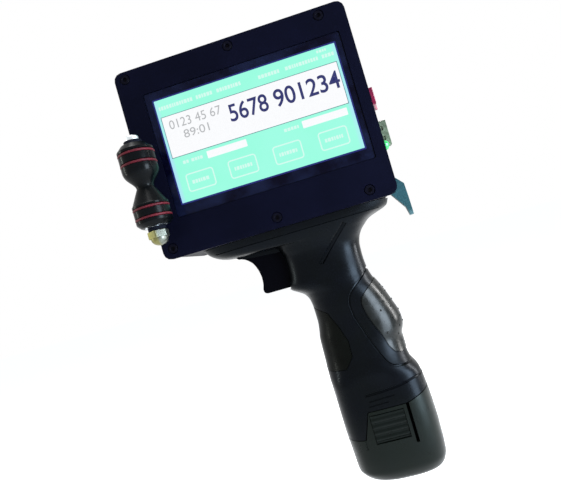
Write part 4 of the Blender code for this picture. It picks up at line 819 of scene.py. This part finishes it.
for number in range(1, 7):
    screw(f"plate_screw_{number}", "-Y")
for number in range(1, 5):
    screw(f"cover_screw_{number}", "+Y")
    screw(f"handle_screw_{number}", "+Y")
for number in (1, 2):
    screw(f"bracket_screw_{number}", "-X")
for node, edge, segments, material, slot, body in (
        ("front_plate", 0.5, 3, PLATE_BLACK, "black_aluminium", "frame"),
        ("housing_shell", 0.6, 3, BOX_BLACK, "black_aluminium", "frame"),
        ("rear_cover", 0.4, 2, COVER_BLACK, "black_aluminium", "frame"),
        ("roller_bracket", 0.3, 2, BRACKET_BLACK, "black_aluminium", "frame"),
        ("cartridge_stall", 0.5, 2, STALL_PLASTIC, "black_plastic", "frame"),
        ("ink_cartridge", 0.6, 3, CARTRIDGE_BLACK, "ink_cartridge", "cartridge"),
        ("switch_frame", 0.3, 2, SWITCH_PLASTIC, "black_plastic", "frame"),
        ("rocker_button", 0.4, 3, BUTTON_RED, "red_plastic", "rocker"),
        ("latch_lever", 0.5, 3, LEVER_TEAL_PAINTED_HIGHLIGHT, "teal_plastic", "latch")):
    show(softened(node, edge, segments), material, slot, body, node)
dress(GLASS_BLACK_PAINTED_REFLECTIONS, "touch_glass")
dress(PANEL_GREY, "display_module")
dress(BOARD_GREEN, "controller_board", "contact_board")
dress(NOZZLE_GOLD, "nozzle_plate")
dress(SOCKET_PLASTIC, "usb_tongue")
dress(LAMP_GREEN, "indicator_lamp")
dress(BRIGHT_STEEL, "latch_pin", "roller_bearing_upper", "roller_bearing_lower")


def socket_shell():
    """The stamped shell of the socket with its spring windows and the springs in them."""
    low, high = low_high("usb_shell")
    shell = brick("usb_shell_finished", low, high, 0.8, "X", 3)
    wall = 0.5
    carve(shell, brick("hollow", (low.x - 1, low.y + wall, low.z + wall),
                       (high.x + 1, high.y - wall, high.z - wall), 0.4, "X"))
    for side in (low.y, high.y):
        for z in (-2.6, 2.6):
            mid_z = (low.z + high.z) / 2 + z
            carve(shell, brick("window", (high.x - 5.4, side - 1, mid_z - 1.1),
                               (high.x - 2.2, side + 1, mid_z + 1.1), 0.4, "Y"))
    tongues = []
    for side, inward in ((low.y, 1), (high.y, -1)):
        for z in (-2.6, 2.6):
            mid_z = (low.z + high.z) / 2 + z
            y_range = sorted((side + inward * 0.15, side + inward * 0.45))
            tongues.append(brick("spring", (high.x - 5.2, y_range[0], mid_z - 0.7),
                                 (high.x - 2.9, y_range[1], mid_z + 0.7), 0.12))
    show(joined("usb_shell_finished", shell, *tongues), SOCKET_STEEL_PAINTED_GREEN, "socket_shell", "frame", "usb_shell")


socket_shell()


# ---- Display ----------------------------------------------------------------------------------------
GLASS_FRONT = low_high("touch_glass")[0].y
DEVICE = Vector((-27.25, 194.4))       # centre of the display, x and z
LIT_HALF = Vector((47.52, 26.93))      # half size of the lit area
LAYER = 0.03                           # thickness of each layer
BORDER_BLUE = (28, 36, 128)
MINT = (150, 250, 220)


def lit_plate(name, left, right, high, low, layer, corner=0.0):
    """A flat area of the display, in millimetres from its centre, layer by layer on the glass."""
    front = GLASS_FRONT - LAYER * layer
    return brick(name, (DEVICE.x + left, front, DEVICE.y + low),
                 (DEVICE.x + right, front + LAYER, DEVICE.y + high), corner, "Y", 4)


def writing(name, body, left, right, high, low, layer, bold=0.0):
    """Plain figures stretched to a width and height."""
    words = bpy.data.curves.new(name, "FONT")
    words.body = body
    words.offset = bold
    holder = bpy.data.objects.new(name, words)
    bpy.context.scene.collection.objects.link(holder)
    mesh = bpy.data.meshes.new_from_object(holder.evaluated_get(bpy.context.evaluated_depsgraph_get()))
    bpy.data.objects.remove(holder)
    shape = bmesh.new()
    shape.from_mesh(mesh)
    xs = [vert.co.x for vert in shape.verts]
    ys = [vert.co.y for vert in shape.verts]
    front = GLASS_FRONT - LAYER * layer
    for vert in shape.verts:
        across = (vert.co.x - min(xs)) / (max(xs) - min(xs))
        up = (vert.co.y - min(ys)) / (max(ys) - min(ys))
        vert.co = (DEVICE.x + left + across * (right - left), front, DEVICE.y + low + up * (high - low))
    grown_faces = bmesh.ops.extrude_face_region(shape, geom=list(shape.faces))["geom"]
    bmesh.ops.translate(shape, vec=(0, LAYER, 0),
                        verts=[item for item in grown_faces if isinstance(item, bmesh.types.BMVert)])
    bmesh.ops.recalc_face_normals(shape, faces=shape.faces)
    return keep_shape(name, shape)


def ring_plate(name, left, right, high, low, line, corner, layer):
    """A rounded outline of a given line width."""
    outer = lit_plate(name, left, right, high, low, layer, corner)
    inner = lit_plate("inner", left + line, right - line, high - line, low + line, layer, corner - line)
    inner.data.transform(Matrix.Translation((0, -LAYER * 4, 0)))
    shape = open_shape(inner)
    bmesh.ops.translate(shape, vec=(0, LAYER * 8, 0),
                        verts=[v for v in shape.verts if v.co.y > GLASS_FRONT - LAYER * (layer + 3.5)])
    shape.to_mesh(inner.data)
    shape.free()
    return carve(outer, inner)


def greeked(name, rows, layer):
    """Rows of short bars in the places of small captions: (left, right, middle height, bar height)."""
    draw = random.Random(3)
    bars = []
    for left, right, height, thick in rows:
        x = left
        while x < right - 0.6:
            width = min(draw.uniform(0.7, 1.5), right - x)
            bars.append(lit_plate("bar", x, x + width, height + thick / 2, height - thick / 2, layer, 0.15))
            x += width + 0.35
    return joined(name, *bars)


LIT_WHITE = lit("lit_white", (252, 253, 255), 1.0)
LIT_PALE = lit("lit_pale", (214, 253, 240), 1.0)
LIT_BLUE = lit("lit_blue", BORDER_BLUE, 0.8)
LIT_NAVY = lit("lit_navy", (44, 48, 108), 1.0)
LIT_GREY = lit("lit_grey", (182, 184, 186), 1.0)
LIT_LINE = lit("lit_line", (70, 120, 130), 1.0)
LIT_MINT = (Finish("lit_mint", MINT, 0.25, specular=0.3)
            .across("X", DEVICE.x - LIT_HALF.x, DEVICE.x + LIT_HALF.x,
                    ((0.0, (172, 226, 250)), (0.014, (165, 234, 236)), (0.024, MINT), (0.976, MINT),
                     (0.986, (165, 234, 236)), (1.0, (172, 226, 250))))
            .mottle((160, 251, 228), 18, 0.5).glow_as_base(1.0).ready())
BUTTONS = (-35.0, -12.5, 11.0, 34.5)


def display():
    """The lit face: panels, plain figures, empty boxes, button outlines and rows of short bars."""
    half = LIT_HALF
    slot = ("touch_glass", "frame")
    show(lit_plate("display_border", -half.x - 0.8, half.x + 0.8, half.y + 0.8, -half.y - 0.8, 1, 0.5),
         LIT_BLUE, *slot)
    show(lit_plate("display_ground", -half.x, half.x, half.y, -half.y, 2, 0.2), LIT_MINT, *slot)
    show(lit_plate("display_panel_line", -46.3, 46.3, 18.0, -3.8, 3, 0.2), LIT_LINE, *slot)
    show(lit_plate("display_panel", -46.0, 46.0, 17.7, -3.5, 4, 0.2), LIT_WHITE, *slot)
    figures = joined("display_large_figures", writing("figures", "5678", -12.0, 8.2, 13.8, 4.8, 5, 0.012),
                     writing("figures", "901234", 11.6, 45.2, 13.8, 4.8, 5, 0.012))
    show(figures, LIT_NAVY, *slot)
    small = joined("display_small_figures", writing("figures", "0123 45 67", -43.0, -15.5, 15.2, 10.6, 5),
                   writing("figures", "89:01", -37.0, -23.5, 8.6, 4.4, 5))
    show(small, LIT_GREY, *slot)
    boxes = joined("display_boxes", lit_plate("box", -28.5, -7.5, -5.3, -9.0, 3, 0.3),
                   lit_plate("box", 21.5, 44.5, -5.3, -9.0, 3, 0.3))
    show(boxes, LIT_WHITE, *slot)
    rings = [ring_plate("ring", x - 7.4, x + 7.4, -13.3, -22.8, 0.65, 1.6, 3) for x in BUTTONS]
    show(joined("display_buttons", *rings), LIT_PALE, *slot)
    captions = [(-46.0, -28.0, 22.4, 1.9), (-26.0, -17.0, 22.4, 1.9), (-15.0, -2.0, 22.4, 1.9),
                (7.0, 18.5, 22.2, 1.8), (21.0, 38.0, 22.2, 1.8), (40.0, 46.0, 22.2, 1.8),
                (-41.5, -38.5, -7.2, 1.6), (-37.0, -30.5, -7.2, 1.6), (12.0, 20.0, -7.2, 1.6)]
    captions += [(x - 4.6, x + 4.6, -18.1, 1.8) for x in BUTTONS]
    captions += [(38.0, 43.0, 25.2, 1.3)]
    show(greeked("display_captions", captions, 3), LIT_PALE, *slot)


display()


# ---- Guide roller -----------------------------------------------------------------------------------
ROLLER = hinge_place("roller_spin")
ROLLER_LOW, ROLLER_TOP = low_high("guide_roller")[0].z, low_high("guide_roller")[1].z
ROLLER_R = 8.95
WAIST_R = 4.3
RING_SECTION = 0.62    # radius of a ring's round section
RING_SINK = 0.5        # how far a ring's centre lies under the roller's surface
WAIST_RISE = 19.6      # the waist's height over the roller's lower end
RINGS = [middle(f"grip_ring_{number}").z for number in range(1, 5)]


def ring_groove(height):
    """A ring's groove in the roller's profile, from the top down."""
    half = RING_SECTION + 0.2
    floor = ROLLER_R - RING_SECTION - 0.1
    return [(ROLLER_R, height + half), (floor, height + half * 0.8), (floor, height - half * 0.8),
            (ROLLER_R, height - half)]


def guide_roller():
    """The waisted roller, turned in one profile, and the rings in its grooves."""
    waist = ROLLER_LOW + WAIST_RISE
    shoulder = RINGS[1] - 1.9
    outside = [(6.1, ROLLER_TOP), (6.4, ROLLER_TOP - 0.1), (ROLLER_R - 0.15, ROLLER_TOP - 2.6),
               (ROLLER_R, ROLLER_TOP - 2.9)]
    for height in RINGS[:2]:
        outside += ring_groove(height)
    outside.append((ROLLER_R, shoulder))
    fall = shoulder - waist
    for step in range(1, 12):
        share = step / 12
        depth = 0.5 - 0.5 * math.cos(math.pi * share ** 1.35)
        outside.append((ROLLER_R - (ROLLER_R - WAIST_R) * depth, shoulder - fall * share))
    shoulder_low = RINGS[2] + 1.7
    outside += [(WAIST_R, waist), (WAIST_R + 0.1, waist - 0.5), (WAIST_R + 0.7, waist - 1.5),
                (ROLLER_R - 0.5, shoulder_low + 0.7), (ROLLER_R, shoulder_low)]
    for height in RINGS[2:]:
        outside += ring_groove(height)
    outside += [(ROLLER_R, ROLLER_LOW + 2.4), (ROLLER_R - 0.2, ROLLER_LOW + 1.9), (7.2, ROLLER_LOW + 0.3),
                (6.6, ROLLER_LOW)]
    inside = [(5.9, ROLLER_LOW), (5.9, ROLLER_LOW + 3.3), (3.0, ROLLER_LOW + 3.3), (3.0, ROLLER_TOP - 3.3),
              (5.9, ROLLER_TOP - 3.3), (5.9, ROLLER_TOP)]
    roller = turned("guide_roller_finished", outside + inside, (ROLLER.x, ROLLER.y, 0), "Z", AROUND, True)
    show(roller, ROLLER_PLASTIC, "black_plastic", "guide_roller", "guide_roller")
    for number, height in enumerate(RINGS, 1):
        section = [(ROLLER_R - RING_SINK + RING_SECTION * math.cos(turn),
                    height + RING_SECTION * math.sin(turn))
                   for turn in (math.radians(30 * step) for step in range(12))]
        ring = turned(f"grip_ring_{number}_finished", section, (ROLLER.x, ROLLER.y, 0), "Z", AROUND, True)
        show(ring, RING_RUBBER, "ring_rubber", "guide_roller", f"grip_ring_{number}")


AXLE_R = 2.2
HEX_R, HEX_H = 5.3, 3.6                # the nut's hexagon: from its middle to a corner, and its height
DOME_R = 4.3
THREAD_R = 2.5


def axle_and_nut():
    """The axle with its round head, and the domed nut on its lower end."""
    low, high = low_high("roller_axle")
    head_r = (high.x - low.x) / 2
    profile = [(0, low.z), (AXLE_R - 0.2, low.z), (AXLE_R, low.z + 0.2), (AXLE_R, high.z - 2.4),
               (head_r, high.z - 2.4), (head_r, high.z - 0.9), (head_r - 0.25, high.z - 0.45),
               (head_r - 0.9, high.z - 0.1), (0, high.z)]
    axle = turned("roller_axle_finished", profile, (ROLLER.x, ROLLER.y, 0))
    show(axle, BRIGHT_STEEL, "bright_steel", "frame", "roller_axle")
    low, high = low_high("dome_nut")
    shape = bmesh.new()
    bmesh.ops.create_cone(shape, cap_ends=True, segments=6, radius1=HEX_R, radius2=HEX_R, depth=HEX_H,
                          matrix=Matrix.Translation((ROLLER.x, ROLLER.y, high.z - HEX_H / 2)))
    bmesh.ops.bevel(shape, geom=list(shape.edges), offset=0.35, offset_type="OFFSET", segments=2, profile=0.5,
                    affect="EDGES", material=-1, clamp_overlap=True)
    nut = keep_shape("nut", shape)
    dome = high.z - low.z - HEX_H
    cap = [(0, low.z)]
    cap += [(DOME_R * math.sin(math.radians(a)), high.z - HEX_H - dome * math.cos(math.radians(a)))
            for a in range(12, 91, 13)]
    cap += [(DOME_R, high.z - HEX_H + 1), (0, high.z - HEX_H + 1)]
    cap = turned("cap", cap, (ROLLER.x, ROLLER.y, 0), "Z", 40)
    carve(nut, cap, operation="UNION")
    hole = [(0, low.z + 2), (THREAD_R, low.z + 2), (THREAD_R, high.z + 1), (0, high.z + 1)]
    carve(nut, turned("thread", hole, (ROLLER.x, ROLLER.y, 0), "Z", 32))
    show(joined("dome_nut_finished", nut), NUT_METAL_PAINTED_REFLECTION, "bright_steel", "frame", "dome_nut")


guide_roller()
axle_and_nut()


# ---- Trigger ----------------------------------------------------------------------------------------
TRIGGER_FRONT = (
    (-57.5, 132.4), (-55.2, 131.4), (-52.2, 128.6), (-50.5, 125.0), (-49.6, 120.7), (-49.8, 116.4),
    (-50.6, 113.1), (-50.0, 111.3), (-48.4, 110.7),
)
BORE_R, BORE_DEPTH = 3.5, 10           # the spring's bore in the trigger


def trigger():
    """The trigger with a rounded front and the bore that its spring sits in."""
    low, high = low_high("trigger")
    outline = [tuple(point) for point in smooth_path(TRIGGER_FRONT, 0.8)]
    outline += [(high.x, low.z), (high.x, high.z)]
    body = bevelled(slab("trigger_finished", outline, low.y, high.y), 1.3, 4, 50)
    start, end = high.x - BORE_DEPTH, high.x + 1
    bore = turned("spring_bore", [(0, start), (BORE_R, start), (BORE_R, end), (0, end)],
                  (0, 0, middle("trigger_spring").z), "X", 32)
    carve(body, bore)
    show(body, TRIGGER_PLASTIC, "trigger_plastic", "trigger", "trigger")


WIRE_R, SPRING_TURNS, TURN_STEPS = 0.45, 6, 20


def return_spring():
    """The spring's coiled wire, from the trigger back into the handle, on no body of its own."""
    low, high = low_high("trigger_spring")
    radius, z = (high.z - low.z) / 2 - WIRE_R, (high.z + low.z) / 2
    start, end = low.x + WIRE_R, high.x - WIRE_R
    points, steps = [], SPRING_TURNS * TURN_STEPS
    for index in range(steps + 1):
        share = index / steps
        turn = 2 * math.pi * SPRING_TURNS * share
        points.append((start + (end - start) * share, radius * math.cos(turn), z + radius * math.sin(turn)))
    wire = tube("trigger_spring_finished", points, WIRE_R)
    show(wire, SPRING_STEEL, "bright_steel", None, "trigger_spring")
    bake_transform(wire)


trigger()
return_spring()


# ---- Stage ------------------------------------------------------------------------------------------
FLOOR_Z = -0.062       # low enough for the battery to slide out
FLOOR_HALF = 6.0
FLOOR_GLOW = 0.70      # the paper's own light towards the camera, which keeps it near white


def only_seen(tree, lighting, seen):
    """Join two shaders so that the second is what the camera, gloss and glass see."""
    path = tree.nodes.new("ShaderNodeLightPath")
    share = path.outputs["Is Camera Ray"]
    for ray in ("Is Glossy Ray", "Is Transmission Ray"):
        most = tree.nodes.new("ShaderNodeMath")
        most.operation = "MAXIMUM"
        tree.links.new(share, most.inputs[0])
        tree.links.new(path.outputs[ray], most.inputs[1])
        share = most.outputs[0]
    mix = tree.nodes.new("ShaderNodeMixShader")
    tree.links.new(share, mix.inputs[0])
    tree.links.new(lighting, mix.inputs[1])
    tree.links.new(seen, mix.inputs[2])
    return mix.outputs[0]


def studio():
    """A white room and a paper floor that keeps the shadow."""
    world = bpy.data.worlds.new("studio")
    bpy.context.scene.world = world
    world.use_nodes = True
    tree = world.node_tree
    lighting = tree.nodes["Background"]
    lighting.inputs["Color"].default_value = (0.9, 0.95, 1.0, 1)
    lighting.inputs["Strength"].default_value = 0.4
    seen = tree.nodes.new("ShaderNodeBackground")
    seen.inputs["Color"].default_value = (1, 1, 1, 1)
    seen.inputs["Strength"].default_value = 1.0
    surface = only_seen(tree, lighting.outputs[0], seen.outputs[0])
    tree.links.new(surface, tree.nodes["World Output"].inputs[0])

    shape = bmesh.new()
    bmesh.ops.create_grid(shape, x_segments=1, y_segments=1, size=FLOOR_HALF,
                          matrix=Matrix.Translation((0, 0, FLOOR_Z)))
    floor = keep_shape("studio_floor", shape)
    paper = bpy.data.materials.new("white_paper")
    paper.use_nodes = True
    tree = paper.node_tree
    tree.nodes.remove(tree.nodes["Principled BSDF"])
    diffuse = tree.nodes.new("ShaderNodeBsdfDiffuse")
    diffuse.inputs["Color"].default_value = (0.8, 0.8, 0.8, 1)
    glow = tree.nodes.new("ShaderNodeEmission")
    glow.inputs["Strength"].default_value = FLOOR_GLOW
    seen = tree.nodes.new("ShaderNodeAddShader")
    tree.links.new(diffuse.outputs[0], seen.inputs[0])
    tree.links.new(glow.outputs[0], seen.inputs[1])
    surface = only_seen(tree, diffuse.outputs[0], seen.outputs[0])
    tree.links.new(surface, tree.nodes["Material Output"].inputs[0])
    floor.data.materials.append(paper)


def lamp(name, place, target, size, power, colour=(1, 1, 1)):
    """A soft rectangular light that faces a target; metres and watts."""
    light = bpy.data.lights.new(name, "AREA")
    light.shape = "RECTANGLE"
    light.size, light.size_y = size
    light.energy = power
    light.color = colour
    holder = bpy.data.objects.new(name, light)
    holder.location = place
    holder.rotation_euler = (Vector(target) - Vector(place)).to_track_quat("-Z", "Y").to_euler()
    bpy.context.scene.collection.objects.link(holder)


CAMERA_PLACE = (-0.009686, -0.285390, 0.124708)
LENS = 33.166          # millimetres, on a sensor 36 wide
CAMERA_TURN = Matrix(((0.95560, 0.27963, 0.09291), (0.09594, 0.00287, -0.99538),
                      (-0.27860, 0.96010, -0.02408)))


def camera():
    """Before the display's side, level with the middle, and rolled so that the printer leans."""
    lens = bpy.data.cameras.new("camera")
    lens.sensor_width = 36.0
    lens.sensor_fit = "HORIZONTAL"
    lens.lens = LENS
    lens.clip_start = 0.01
    holder = bpy.data.objects.new("camera", lens)
    holder.matrix_world = Matrix.Translation(CAMERA_PLACE) @ CAMERA_TURN.to_4x4()
    bpy.context.scene.collection.objects.link(holder)
    bpy.context.scene.camera = holder


studio()
lamp("key_panel", (0.46, -0.32, 0.12), (0.0, 0.0, 0.08), (0.24, 0.34), 6.5, (0.72, 0.86, 1.0))
lamp("right_strip", (0.50, 0.08, 0.26), (0.0, 0.0, 0.12), (0.08, 0.50), 4.0)
lamp("top_panel", (-0.10, -0.10, 0.80), (-0.02, 0.0, 0.15), (0.40, 0.25), 2.6)
lamp("left_strip", (-0.55, -0.05, 0.25), (0.0, 0.0, 0.12), (0.025, 0.40), 0.8, (0.94, 1.0, 0.92))
lamp("rear_panel", (0.10, 0.65, 0.45), (0.0, 0.0, 0.12), (0.20, 0.15), 2.6)
camera()
bpy.context.scene.view_settings.view_transform = "Standard"
